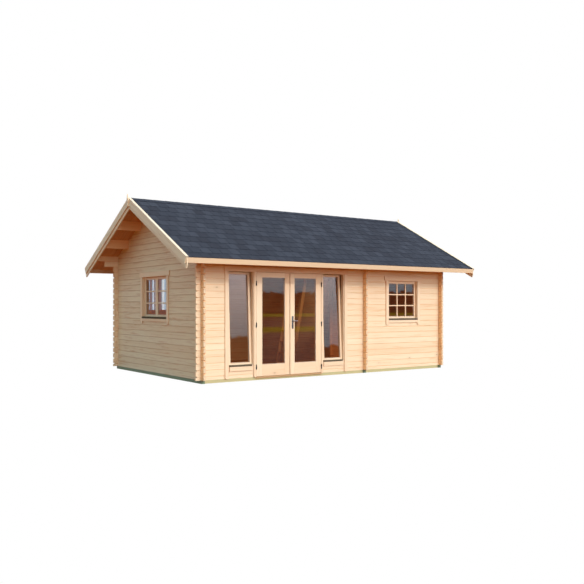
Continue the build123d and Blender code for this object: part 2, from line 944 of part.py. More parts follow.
# Long handle plates inside and out, and the lever with its spindle
plate_width = 40.0
plate_height = 245.0
plate_thickness = 4.0
plate_centre_z = 1060.0
spindle_radius = 7.0
lever_length = 103.0
lever_bar = 9.0
lever_stand_off = 46.0
with BuildPart() as handle_plates:
    for w in (
        (leaf_face, leaf_face + plate_thickness),
        (leaf_back - plate_thickness, leaf_back),
    ):
        plate_u = (lever_x - plate_width / 2, lever_x + plate_width / 2)
        plate_v = (plate_centre_z - plate_height / 2, plate_centre_z + plate_height / 2)
        slab(front_face, plate_u, plate_v, w)
        with BuildSketch(front_face.offset(w[0])) as hole:
            with Locations((lever_x, lever_z)):
                Circle(spindle_radius + 0.6)
        extrude(hole.sketch, amount=w[1] - w[0], mode=Mode.SUBTRACT)
pieces["handle_plates"] = handle_plates

with BuildPart() as door_lever:
    outer = leaf_face + lever_stand_off
    inner = leaf_back - lever_stand_off
    with BuildSketch(front_face.offset(inner)) as spindle:
        with Locations((lever_x, lever_z)):
            Circle(spindle_radius)
    extrude(spindle.sketch, amount=outer - inner)
    for end in (outer, inner):
        with BuildSketch(Plane.YZ.offset(lever_x - lever_bar)) as bar:
            with Locations((front - end, lever_z)):
                Circle(lever_bar)
        extrude(bar.sketch, amount=lever_length + lever_bar)
pieces["door_lever"] = door_lever

# ---------------------------------------------------------------- ladder in the main room
ladder_lean = radians(11.0)
ladder_top = 2200.0
rail_depth = 80.0
rail_thickness = 28.0
ladder_rails = (front + 1900.0, front + 2500.0)
rung_spacing = 250.0
rung_count = 8
rung_size = (60.0, 24.0)
rail_across = rail_depth / cos(ladder_lean)
ladder_run = (ladder_top - beam_height) * tan(ladder_lean)
ladder_foot = partition_left - 0.5 - rail_across - ladder_run
with BuildPart() as ladder:
    for centre in ladder_rails:
        along_y(
            [
                [
                    (ladder_foot, beam_height),
                    (ladder_foot + rail_across, beam_height),
                    (ladder_foot + rail_across + ladder_run, ladder_top),
                    (ladder_foot + ladder_run, ladder_top),
                ]
            ],
            (centre - rail_thickness / 2, centre + rail_thickness / 2),
        )
    for k in range(1, rung_count + 1):
        z = beam_height + k * rung_spacing
        x = ladder_foot + rail_across / 2 + k * rung_spacing * tan(ladder_lean)
        block(
            (x - rung_size[0] / 2, x + rung_size[0] / 2),
            (ladder_rails[0], ladder_rails[1]),
            (z - rung_size[1] / 2, z + rung_size[1] / 2),
        )
pieces["ladder"] = ladder

# ---------------------------------------------------------------- files
for name, piece in pieces.items():
    piece.part.label = name
    export_step(piece.part, f"parts/{name}.step")
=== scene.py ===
"""Log cabin: boards, shingles, joinery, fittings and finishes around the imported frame."""

import math
import random
from contextlib import contextmanager

import bpy
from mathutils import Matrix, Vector


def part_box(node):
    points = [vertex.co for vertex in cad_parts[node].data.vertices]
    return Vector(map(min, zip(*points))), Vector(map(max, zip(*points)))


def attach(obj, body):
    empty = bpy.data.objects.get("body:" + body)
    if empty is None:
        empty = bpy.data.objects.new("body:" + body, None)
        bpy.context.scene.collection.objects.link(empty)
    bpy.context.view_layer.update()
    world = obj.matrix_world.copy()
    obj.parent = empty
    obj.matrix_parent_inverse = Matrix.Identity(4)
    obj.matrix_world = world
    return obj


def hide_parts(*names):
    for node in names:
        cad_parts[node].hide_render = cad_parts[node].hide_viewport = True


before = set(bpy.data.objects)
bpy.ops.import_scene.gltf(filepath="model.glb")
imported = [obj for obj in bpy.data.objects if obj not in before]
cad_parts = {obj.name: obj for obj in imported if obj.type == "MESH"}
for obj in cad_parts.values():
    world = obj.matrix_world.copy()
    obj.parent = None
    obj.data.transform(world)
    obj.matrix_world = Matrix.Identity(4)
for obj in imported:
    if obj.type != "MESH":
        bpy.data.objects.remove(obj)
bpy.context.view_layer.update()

bl_info = {
    "name": "Log cabin",
    "version": (1, 0, 0),
    "blender": (4, 5, 0),
    "location": "3D View > Sidebar > Cabin",
    "description": "Finishes the frame of a two-room log cabin with boards, shingles, joinery and fittings",
    "category": "Object",
}

# ---------------------------------------------------------------- places taken from the frame
FRONT = -1.935  # outer face of the front wall
LEFT = -3.0  # outer face of the left gable wall
COURSE = 0.117  # height of one log
LONG_JOINT = 0.1185  # lowest log joint of the walls along X
CROSS_JOINT = 0.177  # lowest log joint of the walls along Y
PITCH = math.radians(27.5)
RIDGE = 3.470  # top of the shingles
EAVE = 2.434  # roof edge, from the middle of the cabin
VERGE = 3.552  # gable edge of the roof, from the middle
COVERING = 0.010  # thickness that the shingles take over the boards
SLOPE_LENGTH = EAVE / math.cos(PITCH)
RIDGE_LAP = 0.02  # what boards and profiles run past the ridge before they are cut there
WALLS = {"front": ((0, FRONT, 0), 0.0), "gable": ((LEFT, 0, 0), math.radians(-90))}
GRAIN_ORDER = {"x": (0, 1, 2), "y": (1, 2, 0), "z": (2, 0, 1)}
HAIR = 1e-5  # two places nearer than this are the same
NEAR = 0.001  # a corner nearer than this to an edge belongs to it


def linear(red, green, blue):
    """A screen colour from 0 to 255 as the linear colour that materials take."""
    return tuple(((c / 255 + 0.055) / 1.055) ** 2.4 if c > 10 else c / 3294.6 for c in (red, green, blue))


def linear_colour(name, description, *default):
    """A linear colour that a user can change."""
    return bpy.props.FloatVectorProperty(
        name=name, description=description, subtype="COLOR", size=3, min=0.0, max=4.0, default=default
    )


def colour(name, description, *screen):
    """The same from a screen colour."""
    return linear_colour(name, description, *linear(*screen))


def length(name, description, default):
    return bpy.props.FloatProperty(
        name=name,
        description=description,
        subtype="DISTANCE",
        unit="LENGTH",
        min=0.0,
        precision=4,
        default=default,
    )


def angle(name, description, default):
    return bpy.props.FloatProperty(
        name=name, description=description, subtype="ANGLE", unit="ROTATION", default=math.radians(default)
    )


def strength(name, description, default):
    return bpy.props.FloatProperty(name=name, description=description, min=0.0, default=default)


# ---------------------------------------------------------------- what a user would change
class CabinColours(bpy.types.PropertyGroup):
    """Colours of the cabin's finishes"""

    spruce: colour("Spruce", "Pale early wood of the logs and boards", 243, 210, 167)
    spruce_figure: colour("Spruce figure", "Darker bands of late wood", 220, 160, 102)
    spruce_knot: colour("Knot", "Heart of the knots", 150, 91, 51)
    # Painted shade: darker wood in the grooves between the front and rear logs
    spruce_joint: colour("Joint", "Wood in the grooves between two logs", 230, 175, 124)
    gable_spruce: colour("Gable spruce", "Greyer wood of the gable logs", 236, 209, 167)
    gable_figure: colour("Gable figure", "Reddish streaks of the gable logs", 204, 143, 97)
    # Painted shade: darker wood in the grooves between the gable logs
    gable_joint: colour("Gable joint", "Wood in the grooves of the gable logs", 204, 158, 115)
    # Painted bounce light: warmer colours on the sides of the log ends outside the walls
    painted_bounce_tail: colour("Log tails", "Warmer wood of the log ends outside the walls", 254, 206, 150)
    painted_bounce_tail_figure: colour("Log tail figure", "Darker bands of the log ends", 240, 174, 112)
    joinery: colour("Joinery", "Planed wood of doors, windows and casings", 243, 207, 165)
    verge_board: colour("Verge boards", "Greyer boards along the verges", 238, 210, 169)
    verge_strip: colour("Verge strips", "Pale strips over the verges", 252, 221, 184)
    eave_board: colour("Eave boards", "Boards along the eaves", 216, 177, 135)
    # Painted shade: purlins and roof boards take darker, more orange spruce than the walls, for the shade and
    # warm bounce light under the roof
    roof_timber: colour("Roof timber", "Purlins under the overhangs", 246, 190, 134)
    roof_board: colour("Roof boards", "Rough underside of the roof", 212, 152, 98)
    roof_figure: colour("Roof board figure", "Darker bands of the roof boards", 150, 87, 46)
    floor_board: colour("Floor boards", "Planed floor", 206, 154, 100)
    ladder: colour("Ladder", "Wood of the ladder", 222, 170, 115)
    treated: colour("Treated long beams", "Pressure-treated beams along the front", 190, 175, 120)
    treated_figure: colour("Long beam figure", "Bands of the long beams", 206, 168, 118)
    treated_cross: colour("Treated cross beams", "Greener beams along the gables", 116, 131, 97)
    cross_figure: colour("Cross beam figure", "Bands of the cross beams", 104, 118, 82)
    threshold: colour("Threshold", "Hardwood of the door sill", 188, 143, 93)
    shingle: colour("Shingle", "Slate-blue granules", 39, 43, 51)
    shingle_pale: colour("Pale shingle", "Lighter tabs", 60, 62, 69)
    # Dark flecks and darker tabs, and also the painted shade in the slots and the painted shadow along the
    # lower edges
    shingle_dark_and_shade: colour("Dark shingle", "Slots and lower edges", 22, 23, 30)
    edge_metal: colour("Edge metal", "Dark profiles along the edges of the shingles", 50, 42, 37)
    strip: colour("Drip strip", "Coated aluminium over the sill boards", 106, 90, 70)
    hinge: colour("Hinge", "Dark zinc of the hinges", 62, 57, 48)
    plate: colour("Handle plate", "Dark coated plates behind the levers", 92, 93, 95)
    steel: colour("Lever", "Brushed steel of the levers", 168, 160, 153)
    seal: colour("Spacer", "Pale spacer and seal round the panes", 206, 191, 175)
    glass: colour("Glass", "Tint of the panes", 228, 200, 174)


class BoardSizes(bpy.types.PropertyGroup):
    """Sizes of the boards that cover floor and roof, and of the timber's edges"""

    arris: length("Arris", "Rounding of planed edges", 0.0015)
    board_gap: length("Board gap", "Gap between two boards", 0.0008)
    roof_board: length("Roof board", "Width of the roof boards", 0.096)
    roof_groove: length("Roof groove", "Chamfer along the underside of the roof boards", 0.005)
    floor_board: length("Floor board", "Width of the floor boards", 0.096)


class ShingleSizes(bpy.types.PropertyGroup):
    """Sizes of the felt shingles"""

    tab: length("Tab", "Width of one tab with its slot", 0.1956)
    slot: length("Slot", "Slot between two tabs", 0.010)
    course: length("Course", "Height of one course up the slope", 0.242)
    first_course: length("First course", "Height that the lowest course shows", 0.200)
    butt: length("Butt", "Step at the lower edge of each course", 0.0048)
    underlay: length("Underlay", "Felt under the tabs", 0.0045)
    cap: length("Cap", "Length that each ridge cap shows", 0.240)


class JoinerySizes(bpy.types.PropertyGroup):
    """Sizes of beads and glazing bars"""

    bead: length("Bead", "Width of the inner glazing beads", 0.012)
    seal: length("Seal", "Width of the outer seal that shows round the panes", 0.004)
    spacer: length("Spacer", "Width of the spacer inside the double glazing", 0.010)
    bar: length("Bar", "Width of the upright glazing bars", 0.028)
    cross_bar: length("Cross bar", "Height of the level glazing bars", 0.024)
    bar_depth: length("Bar depth", "Depth of the bars on each side of the glass", 0.013)


class StageSettings(bpy.types.PropertyGroup):
    """Light, floor and camera"""

    sun: strength("Sun", "Strength of the main light", 0.94)
    sun_height: angle("Sun height", "Height of the main light above the floor", 31.9)
    sun_side: angle("Sun side", "Turn of the main light to the right of the front", 10.0)
    sun_size: angle("Sun size", "Width of the main light, for soft shadow edges", 2.0)
    front_fill: strength("Front fill", "Broad light from the front", 2.08)
    fill_height: angle("Fill height", "Height of the broad light above the floor", 27.0)
    fill_side: angle("Fill side", "Turn of the broad light to the right of the front", 15.0)
    fill_size: angle("Fill size", "Width of the broad light", 66.0)
    light_tint: linear_colour("Light tint", "Colour of the main light and the front fill", 1.0, 1.09, 1.25)
    room_light: strength("Room light", "Light on the ladder", 43.0)
    corner_light: strength("Corner light", "Light low on the far corner of the small room", 110.0)
    surround: strength("Surround", "Strength of the even light from all sides", 0.74)
    surround_tint: linear_colour("Surround tint", "Colour of the even light", 0.70, 1.04, 1.25)
    mirror: linear_colour("Mirror sky", "Sky that panes and metal reflect", 0.66, 0.60, 0.68)
    low_sky: linear_colour("Low sky", "Reflected sky just over the land", 0.76, 0.98, 1.20)
    haze: linear_colour("Haze", "Reflected sky a little higher", 2.4, 2.32, 2.5)
    rear_sky: linear_colour("Rear sky", "Pale sky that the gable window reflects", 1.3, 1.9, 2.5)
    rear_fold: linear_colour("Rear fold", "Paler uprights in it", 2.4, 2.9, 3.2)
    rear_gap: linear_colour("Rear gap", "Darker uprights in it", 0.7, 0.55, 0.65)
    land: linear_colour("Mirror land", "Trees under that sky", 0.40, 0.118, 0.050)
    field: linear_colour("Mirror field", "Near field that the panes reflect", 0.52, 0.235, 0.20)
    meadow: linear_colour("Mirror meadow", "Green strips between the fields", 0.80, 0.58, 0.06)
    skyline: angle("Skyline", "Height of the reflected trees", 1.0)
    floor: linear_colour("Floor", "Pale studio floor", 1.0, 1.0, 1.0)
    bounce: linear_colour("Bounce", "Floor as the light under the roof and the panes see it", 0.34, 0.10, 0.012)
    lens: bpy.props.FloatProperty(
        name="Lens", description="Focal length", subtype="DISTANCE_CAMERA", default=45.291
    )
    eye: bpy.props.FloatVectorProperty(
        name="Eye",
        description="Place of the camera",
        subtype="XYZ",
        unit="LENGTH",
        default=(-9.138, -13.464, 1.386),
    )
    heading: angle("Heading", "Turn of the camera from +Y towards +X", 35.1)
    rise: bpy.props.FloatProperty(name="Rise", description="Upward shift of the view", default=0.023)


# ---------------------------------------------------------------- modelling helpers
def deselect():
    bpy.ops.object.select_all(action="DESELECT")


def select(*objects):
    """Selects only these, and makes the first the active one."""
    deselect()
    for item in objects:
        item.select_set(True)
    bpy.context.view_layer.objects.active = objects[0]


@contextmanager
def editing(piece, mode="FACE", everything=False):
    """Edit mode on one piece, with all of it or whatever is picked in its mesh."""
    select(piece)
    bpy.context.tool_settings.mesh_select_mode = (mode == "VERT", mode == "EDGE", mode == "FACE")
    bpy.ops.object.mode_set(mode="EDIT")
    try:
        if everything:
            bpy.ops.mesh.select_all(action="SELECT")
        yield
    finally:
        bpy.ops.object.mode_set(mode="OBJECT")


def pick(piece, kind, test):
    """Picks the corners, edges or faces that pass the test, and drops the rest."""
    mesh = piece.data
    for group in (mesh.vertices, mesh.edges, mesh.polygons):
        group.foreach_set("select", [False] * len(group))
    if kind == "VERT":
        for corner in mesh.vertices:
            corner.select = test(corner.co)
    elif kind == "EDGE":
        for edge in mesh.edges:
            edge.select = test(*(mesh.vertices[i].co for i in edge.vertices))
    else:
        for face in mesh.polygons:
            face.select = test(face.center, face.normal)


def bake_place(piece):
    """Moves place, turn and size into the mesh."""
    select(piece)
    bpy.ops.object.transform_apply(location=True, rotation=True, scale=True)


def ease(piece, offset, steps=1, test=None):
    """Rounds or chamfers every edge, or the edges whose two ends pass the test."""
    if test:
        pick(piece, "EDGE", test)
    with editing(piece, "EDGE", everything=not test):
        bpy.ops.mesh.bevel(offset=offset, segments=steps, affect="EDGES", clamp_overlap=True)


def edges_at(axis, place):
    """A test for edges with both ends at one place along an axis."""
    return lambda a, b: abs(a[axis] - place) < HAIR and abs(b[axis] - place) < HAIR


def cut(piece, point, normal, away=True):
    """Cuts away what lies beyond the plane and closes the cut, or only adds an edge line there."""
    with editing(piece, everything=True):
        bpy.ops.mesh.bisect(plane_co=point, plane_no=normal, use_fill=away, clear_outer=away)


def shift_corners(piece, test, by):
    """Moves the corners that pass the test."""
    pick(piece, "VERT", test)
    with editing(piece, "VERT"):
        bpy.ops.transform.translate(value=by)


def apply_modifier(piece, kind, **settings):
    select(piece)
    added = piece.modifiers.new(kind.title(), kind)
    for key, value in settings.items():
        setattr(added, key, value)
    bpy.ops.object.modifier_apply(modifier=added.name)


def repeat(piece, count, pitch):
    """A row of the piece along X as one mesh."""
    apply_modifier(
        piece,
        "ARRAY",
        count=count,
        use_relative_offset=False,
        use_constant_offset=True,
        constant_offset_displace=(pitch, 0, 0),
    )


def even_pitch(start, end, wanted):
    """How many boards fill a stretch, and how wide each is with its gap."""
    count = round((end - start) / wanted)
    return count, (end - start) / count


def copy_of(piece, offset=(0, 0, 0), turn=(0, 0, 0)):
    """A copy with its own mesh, moved and turned."""
    twin = piece.copy()
    twin.data = piece.data.copy()
    bpy.context.collection.objects.link(twin)
    twin.location = offset
    twin.rotation_euler = turn
    bake_place(twin)
    return twin


def joined(name, parts):
    """One piece from several, under this name."""
    select(*parts)
    if len(parts) > 1:
        bpy.ops.object.join()
    whole = bpy.context.view_layer.objects.active
    whole.name = name
    whole.data.name = name
    return whole


def smooth(piece, limit=35.0):
    select(piece)
    bpy.ops.object.shade_smooth_by_angle(angle=math.radians(limit))
    return piece


def lay_grain(piece, along, board_of=None):
    """Stores wood coordinates with x along the grain. Each board has its own stretch of wood."""
    order = GRAIN_ORDER[along]
    key = board_of or (lambda place: 0)
    shifts, values, numbers = {}, [], []
    base = f"{piece.name} {tuple(round(v, 4) for v in piece.data.vertices[0].co)}"
    for corner in piece.data.vertices:
        board_key = key(corner.co)
        if board_key not in shifts:
            draw = random.Random(f"{base} {board_key}")
            shifts[board_key] = [draw.uniform(0, 40) for _ in range(3)] + [draw.random()]
        shift = shifts[board_key]
        values += [corner.co[axis] + shift[i] for i, axis in enumerate(order)]
        numbers.append(shift[3])
    mesh = piece.data
    mesh.attributes.new("grain", "FLOAT_VECTOR", "POINT").data.foreach_set("vector", values)
    mesh.attributes.new("board", "FLOAT", "POINT").data.foreach_set("value", numbers)
    ends = [1.0 if abs(face.normal[order[0]]) > 0.7 else 0.0 for face in mesh.polygons]
    mesh.attributes.new("end_grain", "FLOAT", "FACE").data.foreach_set("value", ends)
    return piece


def lay_row(piece, along, start, count, pitch):
    """A row of boards along X from one board, each with its own stretch of wood."""
    repeat(piece, count, pitch)
    return lay_grain(piece, along, lambda place: math.floor((place.x - start) / pitch))


def block(low, high):
    """A box between two corners, the start of a board."""
    low, high = Vector(low), Vector(high)
    deselect()
    bpy.ops.mesh.primitive_cube_add(size=1, location=(low + high) / 2)
    made = bpy.context.object
    made.scale = high - low
    bake_place(made)
    return made


def board(low, high, along, arris=None, steps=1):
    """A planed board between two corners, with eased edges and its grain laid."""
    made = block(low, high)
    ease(made, bpy.context.scene.cabin_boards.arris if arris is None else arris, steps)
    return lay_grain(made, along)


def wall_board(u, v, w, along, arris=None, steps=1):
    """A board on a wall: u along it, v up and w outwards."""
    return board((u[0], -w[1], v[0]), (u[1], -w[0], v[1]), along, arris, steps)


def turned_bar(radius, place, depth, sides=24, tilt=0.0):
    """A round bar about its middle, upright or tilted to lie level."""
    deselect()
    bpy.ops.mesh.primitive_cylinder_add(
        vertices=sides, radius=radius, depth=depth, location=place, rotation=(math.radians(tilt), 0, 0)
    )
    made = bpy.context.object
    bake_place(made)
    return made


def stand(piece, wall):
    """Moves a piece from wall coordinates to its wall."""
    place, turn = WALLS[wall]
    piece.location = place
    piece.rotation_euler = (0, 0, turn)
    bake_place(piece)
    return piece


def hand_over(piece, finish, body, *replaced):
    """Gives a finished piece its material and body, looks up the frame's slot for its finish, and hides the
    frame's parts that it stands for.
    """
    piece.data.materials.clear()
    piece.data.materials.append(material(finish))
    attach(piece, body)
    SLOTS[finish]
    if replaced:
        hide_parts(*replaced)


def fit(name, parts, wall, finish, body, *replaced):
    """Joins parts into one piece, stands it on its wall and hands it over."""
    hand_over(stand(joined(name, parts), wall), finish, body, *replaced)


def paint(finish, *names):
    """Gives parts of the frame their material."""
    for name in names:
        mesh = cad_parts[name].data
        mesh.materials.clear()
        mesh.materials.append(material(finish))


def onto_slopes(piece, name):
    """Lays a piece (x level, y up the slope, z out of it) on both slopes and cuts it at the ridge."""
    piece.rotation_euler = (PITCH, 0, 0)
    piece.location = (0, -EAVE, RIDGE - EAVE * math.tan(PITCH) - COVERING / math.cos(PITCH))
    bake_place(piece)
    cut(piece, (0, 0, 0), (0, 1, 0))
    piece.name = f"front_{name}"
    rear = copy_of(piece, turn=(0, 0, math.pi))
    rear.name = f"rear_{name}"
    return piece, rear


# ---------------------------------------------------------------- shader helpers
class Wire:
    """A node's output. What is reckoned with it becomes Math nodes in the same tree."""

    def __init__(self, tree, socket):
        self.tree = tree
        self.socket = socket

    def __add__(self, other):
        return maths("ADD", self, other)

    def __sub__(self, other):
        return maths("SUBTRACT", self, other)

    def __rsub__(self, other):
        return maths("SUBTRACT", other, self)

    def __mul__(self, other):
        return maths("MULTIPLY", self, other)

    def __truediv__(self, other):
        return maths("DIVIDE", self, other)

    def __abs__(self):
        return maths("ABSOLUTE", self)

    def __getitem__(self, axis):
        """The X, Y or Z of a vector."""
        return add_node(self.tree, "ShaderNodeSeparateXYZ", {0: self})[axis]


class Node:
    """A node whose outputs are wires, by name or number."""

    def __init__(self, tree, node):
        self.tree = tree
        self.node = node

    def __getitem__(self, key):
        return Wire(self.tree, self.node.outputs[key])


def add_node(tree, kind, sockets=None, **settings):
    """Adds a node. Sockets take wires, numbers, vectors or colours."""
    made = tree.nodes.new(kind)
    for key, value in settings.items():
        setattr(made, key, value)
    for key, value in (sockets or {}).items():
        socket = made.inputs[key]
        if isinstance(value, Wire):
            tree.links.new(value.socket, socket)
        else:
            socket.default_value = (*value[:3], 1.0) if socket.type == "RGBA" else value
    return Node(tree, made)


def maths(operation, *values, clamp=False):
    """A Math node on wires and numbers."""
    tree = next(value.tree for value in values if isinstance(value, Wire))
    return add_node(tree, "ShaderNodeMath", dict(enumerate(values)), operation=operation, use_clamp=clamp)[0]


def vector_maths(operation, *values):
    tree = values[0].tree
    return add_node(tree, "ShaderNodeVectorMath", dict(enumerate(values)), operation=operation)


def combine(tree, **parts):
    return add_node(tree, "ShaderNodeCombineXYZ", parts)[0]


def ramp(value, low, high, to_low=0.0, to_high=1.0):
    """Soft step of a value from one range to another."""
    sockets = {"Value": value, "From Min": low, "From Max": high, "To Min": to_low, "To Max": to_high}
    return add_node(value.tree, "ShaderNodeMapRange", sockets, interpolation_type="SMOOTHSTEP")["Result"]


def blend(share, first, second):
    """Mixes two colours."""
    return add_node(share.tree, "ShaderNodeMix", {0: share, 6: first, 7: second}, data_type="RGBA")[2]


def noise(vector, scale, detail=3.0, roughness=0.5):
    sockets = {"Vector": vector, "Scale": scale, "Detail": detail, "Roughness": roughness}
    return add_node(vector.tree, "ShaderNodeTexNoise", sockets)["Fac"]


def cells(vector, scale):
    return add_node(vector.tree, "ShaderNodeTexVoronoi", {"Vector": vector, "Scale": scale})


def stretched(vector, *scale):
    return add_node(vector.tree, "ShaderNodeMapping", {"Vector": vector, "Scale": scale})["Vector"]


def coordinate(tree, kind):
    return add_node(tree, "ShaderNodeTexCoord")[kind]


def stored(tree, attribute, output="Fac"):
    """What the mesh stores under this name."""
    return add_node(tree, "ShaderNodeAttribute", attribute_name=attribute)[output]


# ---------------------------------------------------------------- shader groups
def log_courses(given):
    """Splits a wall into logs: wood coordinates, a mask of the grooves and a number for each log."""
    steps = (given["Position"]["Z"] - given["First Joint"]) / given["Course"]
    gap = (0.5 - abs(maths("FRACT", steps) - 0.5)) * given["Course"]
    log = {"W": maths("FLOOR", steps)}
    chance = add_node(given.tree, "ShaderNodeTexWhiteNoise", log, noise_dimensions="1D")
    shift = vector_maths("MULTIPLY", chance["Color"], (31.0, 17.0, 23.0))[0]
    return {
        "Wood": vector_maths("ADD", given["Position"], shift)[0],
        "Groove": ramp(gap, 0.002, 0.010, 1.0, 0.0),
        "Log": chance["Value"],
    }


def spruce(given):
    """Spruce: growth rings, streaks, fibres and knots on wood coordinates, with x along the grain."""
    ring = 0.008  # width of one growth ring
    wood, number, end = given["Wood"], given["Number"], given["End"]
    knots = cells(stretched(wood, 2.4, 6.0, 6.0), 1.0)
    lot = add_node(given.tree, "ShaderNodeSeparateColor", {0: knots["Color"]})[0]
    chosen = maths("LESS_THAN", lot, given["Knots"])
    heart = ramp(knots["Distance"], 0.045, 0.085, 1.0, 0.0) * chosen
    halo = ramp(knots["Distance"], 0.05, 0.30, 1.0, 0.0) * chosen

    wander = noise(stretched(wood, 0.5, 3.0, 3.0), 1.0, 2.0)
    across = maths("PINGPONG", wood["Y"] + 0.013, 0.14)
    above = maths("PINGPONG", wood["Z"], 0.09) + 0.03
    pith = vector_maths("LENGTH", combine(given.tree, X=across, Y=above))["Value"]
    swirl = pith + wander * 0.09 + halo * 0.012
    late = maths("POWER", maths("SINE", swirl * (2 * math.pi / ring)) * 0.5 + 0.5, 2.5)

    streak = noise(stretched(wood, 1.8, 34.0, 34.0), 1.0, 4.0, 0.6)
    broad = noise(stretched(wood, 0.5, 5.0, 5.0), 1.0, 2.0)
    fibre = noise(stretched(wood, 6.0, 420.0, 420.0), 1.0, 2.0)
    figure = ramp(streak, 0.48, 0.80) * given["Streaks"] + late * 0.16 + ramp(broad, 0.3, 0.8, -0.06, 0.14)
    figure = maths("ADD", figure, ramp(fibre, 0.2, 0.8, -0.03, 0.05), clamp=True)
    tone = {
        "Hue": number * -0.005 + 0.5025,
        "Saturation": number * 0.08 + 0.96,
        "Value": number * -0.035 + 1.015,
        "Color": blend(figure, given["Pale"], given["Figure"]),
    }
    shade = add_node(given.tree, "ShaderNodeHueSaturation", tone)[0]
    # painted shade in the grooves between logs
    shade = blend(given["Groove"] * 0.75, shade, given["Joint"])
    shade = blend(end * 0.22, shade, given["Figure"])
    knot = maths("ADD", heart * 0.38, halo * 0.10, clamp=True)
    return {
        "Color": blend(knot * (1.0 - end), shade, given["Knot"]),
        "Roughness": fibre * 0.14 + 0.52 - heart * 0.12,
        "Height": late * 0.5 + fibre * 0.5,
    }


def granules(given):
    """Mineral granules on felt: a shade for each tab, a painted shadow line along the foot of each course,
    painted shade on the underlay in the slots, and a fine grain.
    """
    position, tab = given["Position"], given["Tab"]
    cloud = noise(position, 3.0, 4.0, 0.6)
    fleck = noise(position, 160.0, 2.0, 0.7)
    shade = given["Base"]
    for share, tone in (
        (ramp(tab, 0.35, 1.0, 0.0, 0.55), "Pale"),
        (ramp(tab, 0.0, 0.30, 0.35, 0.0), "Dark"),
        (ramp(cloud, 0.35, 0.75, 0.0, 0.22), "Pale"),
        (ramp(fleck, 0.45, 0.75, 0.0, 0.40), "Dark"),
        # painted shadow line along the foot of each course
        (given["Edge"] * 0.30, "Dark"),
        # painted shade: the underlay, marked -1, is darkened where it shows in the slots
        (ramp(tab, -0.6, -0.3, 0.9, 0.0), "Dark"),
    ):
        shade = blend(share, shade, given[tone])
    return {
        "Color": shade,
        "Roughness": ramp(fleck, 0.2, 0.8, 0.82, 0.95),
        "Height": cells(position, 420.0)["Distance"],
    }


def worn_metal(given):
    """Fine brushing and slight staining on metal fittings."""
    brushing = noise(vector_maths("MULTIPLY", given["Position"], given["Stretch"])[0], 1.0)
    cloud = noise(given["Position"], 30.0)
    return {
        "Color": blend(ramp(cloud, 0.45, 0.75, 0.0, 0.5), given["Metal"], given["Stain"]),
        "Roughness": ramp(brushing, 0.3, 0.7, 0.28, 0.42),
        "Height": brushing,
    }


SURFACE = {"Color": ["Color"], "Float": ["Roughness", "Height"]}
GROUPS = {
    "log_courses": (
        log_courses,
        {"Vector": ["Position"], "Float": ["First Joint", "Course"]},
        {"Vector": ["Wood"], "Float": ["Groove", "Log"]},
    ),
    "spruce": (
        spruce,
        {
            "Vector": ["Wood"],
            "Float": ["End", "Groove", "Number", "Streaks", "Knots"],
            "Color": ["Pale", "Figure", "Knot", "Joint"],
        },
        SURFACE,
    ),
    "granules": (
        granules,
        {"Vector": ["Position"], "Float": ["Tab", "Edge"], "Color": ["Base", "Pale", "Dark"]},
        SURFACE,
    ),
    "worn_metal": (worn_metal, {"Vector": ["Position", "Stretch"], "Color": ["Metal", "Stain"]}, SURFACE),
}


def shader_group(name):
    """A shader group, built when it is first asked for."""
    if name in bpy.data.node_groups:
        return bpy.data.node_groups[name]
    build, *ends = GROUPS[name]
    tree = bpy.data.node_groups.new(name, "ShaderNodeTree")
    for sockets, way in zip(ends, ("INPUT", "OUTPUT")):
        for kind, labels in sockets.items():
            for label in labels:
                tree.interface.new_socket(label, in_out=way, socket_type=f"NodeSocket{kind}")
    results = build(Node(tree, tree.nodes.new("NodeGroupInput")))
    add_node(tree, "NodeGroupOutput", results)
    return tree


def use_group(tree, name, **sockets):
    """The group as a node, with each label's spaces written as underscores."""
    labels = {key.replace("_", " "): value for key, value in sockets.items()}
    return add_node(tree, "ShaderNodeGroup", labels, node_tree=shader_group(name))


# ---------------------------------------------------------------- materials
def surface(tree, given, bump, bump_height, **fixed):
    """A Principled surface from a group's colour, roughness and height."""
    relief = {"Height": given["Height"], "Strength": bump, "Distance": bump_height}
    sockets = {
        "Base Color": given["Color"],
        "Roughness": given["Roughness"],
        "Normal": add_node(tree, "ShaderNodeBump", relief)["Normal"],
    }
    sockets.update({key.replace("_", " "): value for key, value in fixed.items()})
    return add_node(tree, "ShaderNodeBsdfPrincipled", sockets)[0]


def slope_space(tree, place, facing):
    """Wood coordinates of boards that run up both slopes, and their end-grain mask."""
    out = abs(place["Y"])
    cosine, sine = math.cos(PITCH), math.sin(PITCH)
    along = out * cosine - place["Z"] * sine
    across = out * sine + place["Z"] * cosine
    side_shift = 4.3  # keeps the two slopes' wood apart
    side = maths("SIGN", place["Y"]) * side_shift + along
    wood = combine(tree, X=side, Y=across, Z=place["X"])
    return wood, maths("GREATER_THAN", abs(facing["Y"]), 0.95)


def wood_space(tree, lay):
    """Wood coordinates, end-grain mask, groove mask and board number for one way of laying timber."""
    if lay == "laid":
        return {
            "Wood": stored(tree, "grain", "Vector"),
            "End": stored(tree, "end_grain"),
            "Groove": 0.0,
            "Number": stored(tree, "board"),
        }
    place, facing = coordinate(tree, "Object"), coordinate(tree, "Normal")
    if lay == "slope":
        wood, end = slope_space(tree, place, facing)
        return {"Wood": wood, "End": end, "Groove": 0.0, "Number": 0.4}
    axis = lay[-1].upper()
    turn = {"X": (0, 0, 0), "Y": (0, 0, math.radians(-90))}[axis]
    wood = add_node(tree, "ShaderNodeMapping", {"Vector": place, "Rotation": turn})["Vector"]
    end = maths("GREATER_THAN", abs(facing[axis]), 0.8)
    if not lay.startswith("logs"):
        return {"Wood": wood, "End": end, "Groove": 0.0, "Number": 0.4}
    first = LONG_JOINT if axis == "X" else CROSS_JOINT
    logs = use_group(tree, "log_courses", Position=wood, First_Joint=first, Course=COURSE)
    return {"Wood": logs["Wood"], "End": end, "Groove": logs["Groove"], "Number": logs["Log"]}


